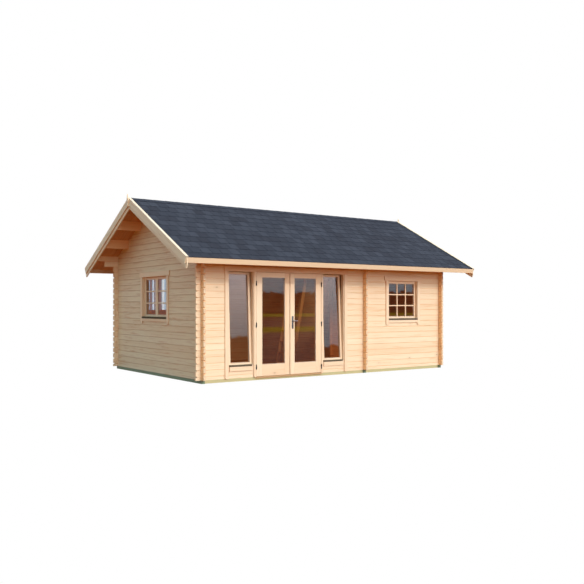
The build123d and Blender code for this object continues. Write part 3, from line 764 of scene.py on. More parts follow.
def timber(tree, lay, pale, streaks, knots, figure="spruce_figure", joint="spruce_joint", bump=0.35):
    """Spruce, laid in one way. The sides of the log ends outside the front and rear walls are painted warmer,
    as painted bounce light; their end faces keep the wood's colour.
    """
    palette = bpy.context.scene.cabin_colours
    sockets = wood_space(tree, lay)
    pale, figure = getattr(palette, pale), getattr(palette, figure)
    if lay == "logs_y":
        edge = 0.004  # how softly the tails begin
        # painted warm bounce light on the sides of the log ends outside the front and rear walls
        outside = ramp(abs(coordinate(tree, "Object")["Y"]), -FRONT - edge, -FRONT + edge)
        tail = outside * (1.0 - sockets["End"])
        pale, figure = blend(tail, pale, palette.painted_bounce_tail), blend(tail, figure, palette.painted_bounce_tail_figure)
    sockets.update(
        Pale=pale,
        Figure=figure,
        Knot=palette.spruce_knot,
        Joint=getattr(palette, joint),
        Streaks=streaks,
        Knots=knots,
    )
    return surface(tree, use_group(tree, "spruce", **sockets), bump, 0.0006)


def felt(tree):
    """Felt with granules; the tabs carry their own number, and a painted shadow line darkens the foot of each
    course.
    """
    palette = bpy.context.scene.cabin_colours
    sizes = bpy.context.scene.cabin_shingles
    place = coordinate(tree, "Object")
    # rows up the slope and the distance to the nearest butt, for the painted shadow line there
    feet = (SLOPE_LENGTH - sizes.first_course) / sizes.course
    row = abs(place["Y"]) * (-1 / (math.cos(PITCH) * sizes.course)) + feet
    near = abs(row - maths("ROUND", row)) * sizes.course
    given = use_group(
        tree,
        "granules",
        Position=place,
        Tab=stored(tree, "board"),
        Edge=ramp(near, 0.005, 0.015, 1.0, 0.0),
        Base=palette.shingle,
        Pale=palette.shingle_pale,
        Dark=palette.shingle_dark_and_shade,
    )
    return surface(tree, given, 0.5, 0.0012)


def metal(tree, tone, stain, stretch, metallic, rough_shift=0.0, shine=0.5):
    """A metal fitting, brushed where its stretch is long."""
    tone = getattr(bpy.context.scene.cabin_colours, tone)
    place = coordinate(tree, "Object")
    given = use_group(tree, "worn_metal", Position=place, Metal=tone, Stain=linear(*stain), Stretch=stretch)
    rough = given["Roughness"] + rough_shift
    return surface(tree, given, 0.15, 0.0002, Metallic=metallic, Roughness=rough, IOR=1.0 + shine)


def pane(tree):
    """Clear panes for the camera, and a dimmer see-through sheet for light that enters the rooms."""
    tint = bpy.context.scene.cabin_colours.glass
    sockets = {"Base Color": tint, "Roughness": 0.0, "IOR": 1.7, "Transmission Weight": 1.0}
    clear = add_node(tree, "ShaderNodeBsdfPrincipled", sockets)[0]
    dim = add_node(tree, "ShaderNodeBsdfTransparent", {"Color": (0.80, 0.66, 0.54)})[0]
    path = add_node(tree, "ShaderNodeLightPath")
    lit = maths("MAXIMUM", path["Is Shadow Ray"], path["Is Diffuse Ray"])
    return add_node(tree, "ShaderNodeMixShader", {0: lit, 1: clear, 2: dim})[0]


EVEN = (20.0, 20.0, 20.0)  # no brushing
FINE = (60.0, 60.0, 60.0)
LEVEL = (20.0, 20.0, 900.0)  # brushed along X and Y
UPRIGHT = (900.0, 900.0, 30.0)  # brushed up and down

FINISHES = {
    "front_logs": (timber, "logs_x", "spruce", 0.50, 0.22),
    "gable_logs": (timber, "logs_y", "gable_spruce", 0.75, 0.35, "gable_figure", "gable_joint"),
    "roof_timber": (timber, "x", "roof_timber", 0.40, 0.4),
    "verge_boards": (timber, "slope", "verge_board", 0.50, 0.15, "gable_figure"),
    "verge_strips": (timber, "slope", "verge_strip", 0.12, 0.0),
    "eave_boards": (timber, "x", "eave_board", 0.26, 0.15),
    "joinery": (timber, "laid", "joinery", 0.20, 0.08, "spruce_figure", "spruce_joint", 0.2),
    "casing_boards": (timber, "laid", "joinery", 0.28, 0.20),
    # roof boards in darker, more orange spruce: painted shade under the roof
    "roof_underside": (timber, "laid", "roof_board", 0.5, 0.5, "roof_figure"),
    "floor_boards": (timber, "laid", "floor_board", 0.45, 0.5),
    "ladder_rails": (timber, "laid", "ladder", 0.35, 0.2),
    "sill_hardwood": (timber, "x", "threshold", 0.35, 0.0),
    "treated_long": (timber, "x", "treated", 0.45, 0.3, "treated_figure"),
    "treated_cross": (timber, "y", "treated_cross", 0.35, 0.3, "cross_figure"),
    "shingle_felt": (felt,),
    "edge_metal": (metal, "edge_metal", (40, 35, 33), EVEN, 0.0, 0.25),
    "coated_strip": (metal, "strip", (78, 76, 73), LEVEL, 0.0, 0.3, 0.0),
    "pane_seal": (metal, "seal", (170, 158, 144), EVEN, 0.0, 0.2),
    "hinge_zinc": (metal, "hinge", (40, 36, 31), FINE, 0.6, 0.1),
    "handle_plate": (metal, "plate", (70, 72, 75), UPRIGHT, 0.5, 0.1),
    "lever_steel": (metal, "steel", (130, 124, 118), UPRIGHT, 0.6),
    "window_pane": (pane,),
}

# the frame's slot listed for each finish of a new piece
SLOTS = {
    "joinery": "joinery_wood",
    "casing_boards": "trim_wood",
    "roof_underside": "roof_wood",
    "floor_boards": "floor_wood",
    "ladder_rails": "ladder_wood",
    "shingle_felt": "felt_shingle",
    "edge_metal": "drip_aluminium",
    "pane_seal": "window_glass",
    "hinge_zinc": "hinge_metal",
    "handle_plate": "handle_steel",
    "lever_steel": "handle_steel",
}


def new_material(name):
    """An empty material, and its tree."""
    made = bpy.data.materials.new(name)
    made.use_nodes = True
    made.node_tree.nodes.clear()
    return made, made.node_tree


def material(name):
    """The material of a finish, made when it is first asked for. The frame's own materials have other names."""
    if name in bpy.data.materials:
        return bpy.data.materials[name]
    build, *values = FINISHES[name]
    made, tree = new_material(name)
    add_node(tree, "ShaderNodeOutputMaterial", {"Surface": build(tree, *values)})
    return made


# ---------------------------------------------------------------- joinery helpers
BEAD_ROUND = 0.0035
SPACER_SHARE = 0.4  # of the depth behind the glass
THINNEST_SPACER, THINNEST_BEAD, SEAL_DEPTH = 0.003, 0.004, 0.003
CORNER_CUT = 0.018  # off the casing boards


def timber_ring(u, v, w, hole_u, hole_v):
    """A frame in a wall: two upright members from end to end, and two level ones between them."""
    uprights = [wall_board(span, v, w, "z") for span in ((u[0], hole_u[0]), (hole_u[1], u[1]))]
    return uprights + [wall_board(hole_u, span, w, "x") for span in ((v[0], hole_v[0]), (hole_v[1], v[1]))]


def bead_ring(u, v, w, width):
    """Rounded glazing beads round a pane, on one side of it."""
    round_over = min(BEAD_ROUND, width / 3)
    low, high = v[0] + width, v[1] - width
    rails = [wall_board(u, span, w, "x", round_over, 2) for span in ((v[0], low), (high, v[1]))]
    sides = ((u[0], u[0] + width), (u[1] - width, u[1]))
    return rails + [wall_board(span, (low, high), w, "z", round_over, 2) for span in sides]


def glaze(u, v, glass_w, inner_face):
    """Inner beads of a pane, and the seal and spacer that show round it."""
    joinery = bpy.context.scene.cabin_joinery
    back, front = glass_w
    spacer_back = back - max(SPACER_SHARE * (back - inner_face), THINNEST_SPACER)
    beads = bead_ring(u, v, (min(inner_face, spacer_back - THINNEST_BEAD), spacer_back), joinery.bead)
    seals = bead_ring(u, v, (front, front + SEAL_DEPTH), joinery.seal)
    seals += bead_ring(u, v, (spacer_back, back), joinery.spacer)
    return beads, seals


def cut_board(u, v, w, cut_side):
    """An upright casing board whose lower outer corner is cut off."""
    made = block((u[0], -w[1], v[0]), (u[1], -w[0], v[1]))
    corner = u[0] if cut_side < 0 else u[1]
    cut(made, (corner, 0, v[0] + CORNER_CUT), (cut_side, 0, -1))
    ease(made, bpy.context.scene.cabin_boards.arris)
    return lay_grain(made, "z")


def wall_box(node, wall="front"):
    """A part's ranges along its wall, up and outwards."""
    low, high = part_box(node)
    if wall == "front":
        return (low.x, high.x), (low.z, high.z), (FRONT - high.y, FRONT - low.y)
    return (-high.y, -low.y), (low.z, high.z), (LEFT - high.x, LEFT - low.x)


# ---------------------------------------------------------------- operators
class CabinStep:
    """What every step of the cabin shares"""

    bl_options = {"REGISTER", "UNDO"}

    def execute(self, context):
        self.build(context.scene)
        return {"FINISHED"}


class CABIN_OT_log_walls(CabinStep, bpy.types.Operator):
    """Finish the log walls and the purlins"""

    bl_idname = "cabin.log_walls"
    bl_label = "Log walls"

    def build(self, scene):
        front = [f"front_wall_{part}" for part in ("left", "right", "sills", "top")]
        paint("front_logs", *front, "rear_wall")
        paint("gable_logs", "left_gable_wall", "right_gable_wall", "partition_wall")
        paint("roof_timber", "purlins")


class CABIN_OT_foundation(CabinStep, bpy.types.Operator):
    """Finish the treated beams under the walls"""

    bl_idname = "cabin.foundation"
    bl_label = "Foundation beams"

    def build(self, scene):
        paint("treated_cross", "cross_foundation_beams")
        paint("treated_long", "long_foundation_beams", "floor_joists")


class CABIN_OT_floor_boards(CabinStep, bpy.types.Operator):
    """Lay the floor boards of both rooms"""

    bl_idname = "cabin.floor_boards"
    bl_label = "Floor boards"

    middle_beam = (0.744, 0.808)
    arris = 0.0016

    def build(self, scene):
        sizes = scene.cabin_boards
        low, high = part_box("floor")
        half = sizes.board_gap / 2
        rooms = []
        for start, end in ((low.x, self.middle_beam[0]), (self.middle_beam[1], high.x)):
            count, pitch = even_pitch(start, end, sizes.floor_board)
            plank = block((start + half, low.y, low.z), (start + pitch - half, high.y, high.z))
            ease(plank, self.arris)
            rooms.append(lay_row(plank, "y", start, count, pitch))
        hand_over(joined("floor_planks", rooms), "floor_boards", "cabin", "floor")


class CABIN_OT_roof_boards(CabinStep, bpy.types.Operator):
    """Lay the boards that run up both slopes, with V-joints on their underside"""

    bl_idname = "cabin.roof_boards"
    bl_label = "Roof boards"

    thickness = 0.019
    start = 0.0225  # behind the fascia

    def build(self, scene):
        sizes = scene.cabin_boards
        low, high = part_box("front_roof_boards")
        count, pitch = even_pitch(low.x, high.x, sizes.roof_board)
        half = sizes.board_gap / 2
        plank = block(
            (low.x + half, self.start, -self.thickness), (low.x + pitch - half, SLOPE_LENGTH + RIDGE_LAP, 0)
        )

        def long_lower_edge(a, b):
            return max(a.z, b.z) < NEAR - self.thickness and abs(a.x - b.x) < HAIR and abs(a.y - b.y) > 1

        ease(plank, sizes.roof_groove, test=long_lower_edge)
        lay_row(plank, "y", low.x, count, pitch)
        for piece, side in zip(onto_slopes(plank, "roof_planks"), ("front", "rear")):
            hand_over(piece, "roof_underside", "cabin", f"{side}_roof_boards")


class CABIN_OT_shingles(CabinStep, bpy.types.Operator):
    """Lay the felt shingles in courses with staggered tabs"""

    bl_idname = "cabin.shingles"
    bl_label = "Shingles"

    edge = 0.006  # from the verge to the ends of the courses
    foot_chamfer = 0.0015
    lap = 0.0005  # how far the tabs sink into the underlay

    def lay_courses(self, sizes, reach):
        """Rows of tabs up the slope, every second one moved by half a tab."""
        count = math.ceil(2 * reach / sizes.tab) + 2
        start = -sizes.tab * count / 2
        left, right = start + sizes.slot / 2, start + sizes.tab - sizes.slot / 2
        foot = sizes.first_course - sizes.course
        tab = block((left, 0, sizes.underlay - self.lap), (right, sizes.course, COVERING))
        high = COVERING - NEAR  # above this lies the face of a tab
        shift_corners(tab, lambda at: at.y > 0.1 and at.z > high, (0, 0, -sizes.butt))
        ease(tab, self.foot_chamfer, test=lambda a, b: max(a.y, b.y) < NEAR and min(a.z, b.z) > high)
        repeat(tab, count, sizes.tab)
        courses = []
        for row in range(math.ceil((SLOPE_LENGTH - foot) / sizes.course)):
            stagger = sizes.tab / 2 if row % 2 else 0.0
            course = copy_of(tab, (stagger, foot + row * sizes.course, 0))
            lay_grain(course, "x", lambda at: (row, math.floor((at.x - start - stagger) / sizes.tab)))
            courses.append(course)
        bpy.data.objects.remove(tab)
        return courses

    def build(self, scene):
        sizes = scene.cabin_shingles
        reach = VERGE - self.edge
        courses = self.lay_courses(sizes, reach)
        underlay = lay_grain(block((-reach, 0.001, 0), (reach, SLOPE_LENGTH, sizes.underlay)), "x")
        # the underlay is marked -1, so the felt paints it dark as the shade in the slots
        underlay.data.attributes["board"].data.foreach_set("value", [-1.0] * len(underlay.data.vertices))
        sheet = joined("shingles", courses)
        for side in (1, -1):
            cut(sheet, (side * reach, 0, 0), (side, 0, 0))
        cut(sheet, (0, 0, 0), (0, -1, 0))
        cut(sheet, (0, SLOPE_LENGTH, 0), (0, 1, 0))
        sheet = joined("shingles", [sheet, underlay])
        for piece, side in zip(onto_slopes(sheet, "shingle_courses"), ("front", "rear")):
            hand_over(piece, "shingle_felt", "cabin", f"{side}_shingles")


class CABIN_OT_ridge_caps(CabinStep, bpy.types.Operator):
    """Fold overlapping felt caps over the ridge"""

    bl_idname = "cabin.ridge_caps"
    bl_label = "Ridge caps"

    lap = 0.05
    thickness = 0.0034
    lift = 0.0036  # of each cap's end over the next one
    sink = 0.0012  # into the shingles
    lead = 0.0001  # each cap's stretch of wood begins this far before it

    def build(self, scene):
        low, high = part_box("ridge_cap")
        reach = high.y
        rise = reach * math.tan(PITCH)
        count, pitch = even_pitch(low.x, high.x, scene.cabin_shingles.cap)
        base = RIDGE - rise - self.sink
        cap = block((low.x, -reach, base), (low.x + pitch + self.lap, reach, base + self.thickness))
        cut(cap, (0, 0, 0), (0, 1, 0), away=False)
        shift_corners(cap, lambda at: abs(at.y) < NEAR, (0, 0, rise))
        shift_corners(cap, lambda at: at.x < low.x + NEAR, (0, 0, self.lift))
        lay_row(cap, "x", low.x - self.lead, count, pitch)
        corners = len(cap.data.vertices) // count
        shades = [random.Random(f"cap {index}").uniform(0.3, 0.9) for index in range(count)]
        values = [shade for shade in shades for _ in range(corners)]
        cap.data.attributes["board"].data.foreach_set("value", values)
        cut(cap, (high.x, 0, 0), (1, 0, 0))
        cap.name = "ridge_caps"
        hand_over(cap, "shingle_felt", "cabin", "ridge_cap")


class CABIN_OT_verges(CabinStep, bpy.types.Operator):
    """Finish the boards along the eaves and the verges, and lay the dark profiles beside the shingles"""

    bl_idname = "cabin.verges"
    bl_label = "Eaves and verges"

    strip = 0.050  # width of the verge strips
    lap = 0.013
    rise = 0.006  # of the profiles over the shingles
    seat = 0.001  # how far the profiles sink into the shingles
    start = 0.002  # from the eave to the profiles along the verges
    nose = 0.012  # drop of the eave profile
    nose_depth = 0.0025
    arris = 0.0008

    def build(self, scene):
        paint("verge_boards", "barge_boards", "barge_backing_boards")
        paint("verge_strips", "verge_strips")
        paint("eave_boards", "fascias")
        inner = VERGE - self.strip
        base = COVERING - self.seat
        profiles = []
        for side in (-1, 1):
            low, high = sorted((side * (inner - self.lap), side * inner))
            top = SLOPE_LENGTH + RIDGE_LAP
            profiles.append(block((low, self.start, base), (high, top, COVERING + self.rise)))
        nose = block((-inner, -self.nose_depth, -self.nose), (inner, 0.0, base))
        shift_corners(nose, lambda at: at.z < 0, (0, self.nose * math.tan(PITCH) / 2, 0))
        profiles.append(nose)
        for profile in profiles:
            ease(profile, self.arris)
            lay_grain(profile, "x")
        for piece in onto_slopes(joined("edge_profiles", profiles), "edge_profiles"):
            hand_over(piece, "edge_metal", "cabin")


class CABIN_OT_finials(CabinStep, bpy.types.Operator):
    """Shape the pointed boards over both ridge ends"""

    bl_idname = "cabin.finials"
    bl_label = "Finials"

    thickness = 0.022
    arris = 0.0012
    foot = (3.301, 3.337, 0.018)  # lower and upper end of the straight part, and half its width
    outline = (
        (3.360, 0.018),
        (3.385, 0.030),
        (3.405, 0.038),
        (3.425, 0.036),
        (3.455, 0.025),
        (3.485, 0.015),
        (3.515, 0.008),
        (3.542, 0.002),
    )  # height and half width

    def build(self, scene):
        low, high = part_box("finials")
        bottom, height, width = self.foot
        deselect()
        bpy.ops.mesh.primitive_plane_add(
            size=2 * width, location=(0, 0, (bottom + height) / 2), rotation=(0, math.radians(90), 0)
        )
        blade = bpy.context.object
        bake_place(blade)
        for level, half in self.outline:
            top = max(corner.co.z for corner in blade.data.vertices)
            pick(blade, "EDGE", lambda a, b: min(a.z, b.z) > top - HAIR)
            with editing(blade, "EDGE"):
                bpy.ops.mesh.extrude_region_move(TRANSFORM_OT_translate={"value": (0, 0, level - height)})
                bpy.ops.transform.resize(value=(1, half / width, 1), center_override=(0, 0, level))
            width, height = half, level
        apply_modifier(blade, "SOLIDIFY", thickness=self.thickness, offset=0.0)
        ease(blade, self.arris)
        lay_grain(blade, "z")
        blade.location = (low.x + self.thickness / 2, 0, 0)
        bake_place(blade)
        twin = copy_of(blade, (high.x - low.x - self.thickness, 0, 0))
        hand_over(joined("finial_boards", [blade, twin]), "casing_boards", "cabin", "finials")


class CABIN_OT_door_frame(CabinStep, bpy.types.Operator):
    """Set up the frame, stops and casing boards of the door unit"""

    bl_idname = "cabin.door_frame"
    bl_label = "Door frame"

    post = 0.030
    post_foot = 0.060
    mullion = 0.060
    mullion_casing = 0.045
    casing = 0.074
    casing_arris = 0.002
    margin = 0.016  # frame that shows beside the outer casing
    stop = 0.014
    play = 0.001  # between boards that meet

    def build(self, scene):
        head_u, head_v, depth = wall_box("door_head")
        doorway = wall_box("door_threshold")[0]
        inner = (head_u[0] + self.post, head_u[1] - self.post)
        reveals = (doorway[0] - self.mullion, doorway[1] + self.mullion)
        posts = (
            (head_u[0], inner[0]),
            (reveals[0], doorway[0]),
            (doorway[1], reveals[1]),
            (inner[1], head_u[1]),
        )
        parts = [wall_board(span, (self.post_foot, head_v[0]), depth, "z") for span in posts]
        parts.append(wall_board(head_u, head_v, depth, "x"))
        stop_u, stop_v, stop_w = wall_box("door_stops")
        upright = (stop_v[0], stop_v[1] - self.stop - self.play)
        for span in ((stop_u[0], stop_u[0] + self.stop), (stop_u[1] - self.stop, stop_u[1])):
            parts.append(wall_board(span, upright, stop_w, "z"))
        parts.append(wall_board(stop_u, (stop_v[1] - self.stop, stop_v[1]), stop_w, "x"))
        rail_u, rail_v, rail_w = wall_box("panel_rails")
        for span in ((rail_u[0], reveals[0]), (reveals[1], rail_u[1])):
            parts.append(wall_board(span, rail_v, rail_w, "x"))
        replaced = ["door_posts", "door_head", "door_stops", "panel_rails"]
        fit("door_frame", parts, "front", "joinery", "cabin", *replaced)

        casing_u, casing_v, casing_w = wall_box("door_casing")
        ends = (casing_v[0], head_v[0] - self.play)
        near, far = self.margin, self.margin + self.casing
        parts = [
            cut_board((inner[0] - far, inner[0] - near), ends, casing_w, -1),
            cut_board((inner[1] + near, inner[1] + far), ends, casing_w, 1),
            cut_board((doorway[0] - self.mullion_casing, doorway[0]), ends, casing_w, -1),
            cut_board((doorway[1], doorway[1] + self.mullion_casing), ends, casing_w, 1),
            wall_board(casing_u, (head_v[0], casing_v[1]), casing_w, "x", self.casing_arris),
        ]
        sill_u, sill_v, sill_w = wall_box("panel_sill_boards")
        for span in ((sill_u[0], reveals[0] - self.play), (reveals[1] + self.play, sill_u[1])):
            parts.append(wall_board(span, sill_v, sill_w, "x"))
        fit("door_casing_boards", parts, "front", "casing_boards", "cabin", "door_casing", "panel_sill_boards")
        paint("sill_hardwood", "door_threshold")


class CABIN_OT_door_leaves(CabinStep, bpy.types.Operator):
    """Build both door leaves with beads round their panes"""

    bl_idname = "cabin.door_leaves"
    bl_label = "Door leaves"

    round_over = 0.004

    def build(self, scene):
        for side in ("left", "right"):
            body = f"{side}_door"
            u, v, w = wall_box(body)
            glass_u, glass_v, glass_w = wall_box(f"{side}_door_glass")
            parts = timber_ring(u, v, w, glass_u, glass_v)
            beads, seals = glaze(glass_u, glass_v, glass_w, w[0])
            fit(f"{side}_leaf_seals", seals, "front", "pane_seal", body)
            fit(f"{side}_leaf", parts + beads, "front", "joinery", body, body)
            paint("window_pane", f"{side}_door_glass")
        strip = wall_board(*wall_box("meeting_cover_strip"), "z", self.round_over, 2)
        fit("meeting_strip", [strip], "front", "joinery", "right_door", "meeting_cover_strip")


class CABIN_OT_side_panels(CabinStep, bpy.types.Operator):
    """Build the tilted sashes of the glazed side panels"""

    bl_idname = "cabin.side_panels"
    bl_label = "Side panels"

    tilt = math.radians(2.6)
    foot = (0, FRONT + 0.028, 0.300)
    height = 1.698
    stile = 0.047
    rail = 0.036
    depth = (-0.040, 0)
    glass_w = (-0.034, -0.026)
    spans = ((-2.424, -1.924), (-0.276, 0.224))

    def lean(self, piece):
        """Tilts a piece in at the top and sets it on the low wall."""
        piece.rotation_euler = (-self.tilt, 0, 0)
        piece.location = self.foot
        bake_place(piece)
        return piece

    def build(self, scene):
        parts, seals = [], []
        hole_v = (self.rail, self.height - self.rail)
        for u in self.spans:
            hole_u = (u[0] + self.stile, u[1] - self.stile)
            parts += timber_ring(u, (0, self.height), self.depth, hole_u, hole_v)
            beads, rings = glaze(hole_u, hole_v, self.glass_w, self.depth[0])
            parts += beads
            seals += rings
        hand_over(self.lean(joined("side_panel_sashes", parts)), "joinery", "cabin", "panel_sashes")
        hand_over(self.lean(joined("side_panel_seals", seals)), "pane_seal", "cabin")
        paint("window_pane", "panel_glass")


class WindowStep(CabinStep):
    """Frame, sashes with glazing bars, and casing boards of one window"""

    side, sill = 0.020, 0.037  # the fixed frame's members; its head is as its sides
    rows = 3
    gap = 0.002  # between two casements
    round_over = 0.004
    step = 0.0006  # level bars stand this far behind the upright ones
    casing, casing_lap, casing_head, casing_arris = 0.076, 0.121, 0.097, 0.002
    sill_top, sill_board = 0.100, 0.054
    play = 0.001

    def bars(self, hole, glass_v, depth, level_depth):
        """Glazing bars on one side of the glass."""
        joinery = bpy.context.scene.cabin_joinery
        made = []
        for middle in split_evenly(hole, self.columns):
            bar = (middle - joinery.bar / 2, middle + joinery.bar / 2)
            made.append(wall_board(bar, glass_v, depth, "z", self.round_over, 2))
        for middle in split_evenly(glass_v, self.rows):
            bar = (middle - joinery.cross_bar / 2, middle + joinery.cross_bar / 2)
            made.append(wall_board(hole, bar, level_depth, "x", self.round_over, 2))
        return made

    def build(self, scene):
        wall, name = self.wall, self.window
        u, v, w = wall_box(f"{name}_frame", wall)
        parts = timber_ring(u, v, w, (u[0] + self.side, u[1] - self.side), (v[0] + self.sill, v[1] - self.side))
        fit(f"{name}_fixed_frame", parts, wall, "joinery", "cabin", f"{name}_frame")

        sash_u, sash_v, sash_w = wall_box(f"{name}_{self.sash}", wall)
        _, glass_v, glass_w = wall_box(f"{name}_glass", wall)
        width = (sash_u[1] - sash_u[0] - self.gap * (self.casements - 1)) / self.casements
        thick = scene.cabin_joinery.bar_depth
        parts, seals = [], []
        for index in range(self.casements):
            start = sash_u[0] + index * (width + self.gap)
            hole = (start + self.stile, start + width - self.stile)
            parts += timber_ring((start, start + width), sash_v, sash_w, hole, glass_v)
            beads, rings = glaze(hole, glass_v, glass_w, sash_w[0])
            parts += beads
            seals += rings
            inner, outer = glass_w[0] - thick, glass_w[1] + thick
            parts += self.bars(hole, glass_v, (glass_w[1], outer), (glass_w[1], outer - self.step))
            parts += self.bars(hole, glass_v, (inner, glass_w[0]), (inner + self.step, glass_w[0]))
        fit(f"{name}_barred_sash", parts, wall, "joinery", "cabin", f"{name}_{self.sash}")
        fit(f"{name}_seals", seals, wall, "pane_seal", "cabin")
        paint("window_pane", f"{name}_glass")

        case_u, case_v, case_w = wall_box(f"{name}_casing", wall)
        left, right = case_u[0] + self.casing_lap, case_u[1] - self.casing_lap
        head, sill_top = case_v[1] - self.casing_head, case_v[0] + self.sill_top
        ends = (case_v[0], head - self.play)
        sill = (sill_top - self.sill_board, sill_top)
        parts = [
            cut_board((left - self.casing, left), ends, case_w, -1),
            cut_board((right, right + self.casing), ends, case_w, 1),
            wall_board(case_u, (head, case_v[1]), case_w, "x", self.casing_arris),
            wall_board((left + self.play, right - self.play), sill, case_w, "x"),
        ]
        fit(f"{name}_casing_boards", parts, wall, "casing_boards", "cabin", f"{name}_casing")


def split_evenly(span, parts):
    """The places between so many equal parts of a span."""
    return [span[0] + (span[1] - span[0]) * k / parts for k in range(1, parts)]


class CABIN_OT_front_window(WindowStep, bpy.types.Operator):
    """Build the single sash of the front window, with nine panes"""

    bl_idname = "cabin.front_window"
    bl_label = "Front window"

    wall, window, sash = "front", "front_window", "sash"
    casements, columns, stile = 1, 3, 0.040


class CABIN_OT_gable_window(WindowStep, bpy.types.Operator):
    """Build the two casements of the gable window"""

    bl_idname = "cabin.gable_window"
    bl_label = "Gable window"

    wall, window, sash = "gable", "gable_window", "sashes"
    casements, columns, stile = 2, 1, 0.048


class CABIN_OT_drip_strips(CabinStep, bpy.types.Operator):
    """Finish the metal strips over the sill boards"""

    bl_idname = "cabin.drip_strips"
    bl_label = "Drip strips"

    def build(self, scene):
        paint("coated_strip", "sill_strips")


class CABIN_OT_hinges(CabinStep, bpy.types.Operator):
    """Make the door hinges, with a lower knuckle on the frame and an upper one on the leaf"""

    bl_idname = "cabin.hinges"
    bl_label = "Hinges"

    doors = {
        "left": (-1.8575, 1, (0.246, 1.023, 1.795)),
        "right": (-0.3425, -1, (0.188, 1.023, 1.795)),
    }  # place of the axis, which way the leaf lies from it, and the heights
    out = -1.966
    radius = 0.009
    reach = 0.046
    half_gap = 0.0005  # between the two knuckles
    tip = 0.006
    tab = (0.0035, 0.0095)  # the tab's faces, from the axis
    into_knuckle = 0.004
    into_frame, into_leaf = -1.955, -1.953  # how deep the tabs go
    arris = 0.0008

    def knuckle(self, x, tip, other):
        """One turned knuckle from its rounded tip to its other end."""
        made = turned_bar(self.radius, (x, self.out, (tip + other) / 2), abs(tip - other))
        ease(made, self.tip, 4, edges_at(2, tip))
        ease(made, self.arris, 1, edges_at(2, other))
        return made

    def web(self, x, side, low, high, back):
        """The flat tab from a knuckle into the wood."""
        left, right = sorted(x + side * face for face in self.tab)
        made = block((left, self.out + self.into_knuckle, low), (right, back, high))
        ease(made, self.arris)
        return made

    def build(self, scene):
        fixed = []
        for side, (x, inward, heights) in self.doors.items():
            moving = []
            for height in heights:
                low, high = height - self.reach, height + self.reach
                fixed.append(self.knuckle(x, low, height - self.half_gap))
                fixed.append(self.web(x, -inward, low + self.tip, height - 3 * self.half_gap, self.into_frame))
                moving.append(self.knuckle(x, high, height + self.half_gap))
                moving.append(self.web(x, inward, height + 3 * self.half_gap, high - self.tip, self.into_leaf))
            piece = smooth(joined(f"{side}_leaf_knuckles", moving))
            hand_over(piece, "hinge_zinc", f"{side}_door", f"{side}_door_hinges")
        hand_over(smooth(joined("frame_knuckles", fixed)), "hinge_zinc", "cabin", "frame_hinges")


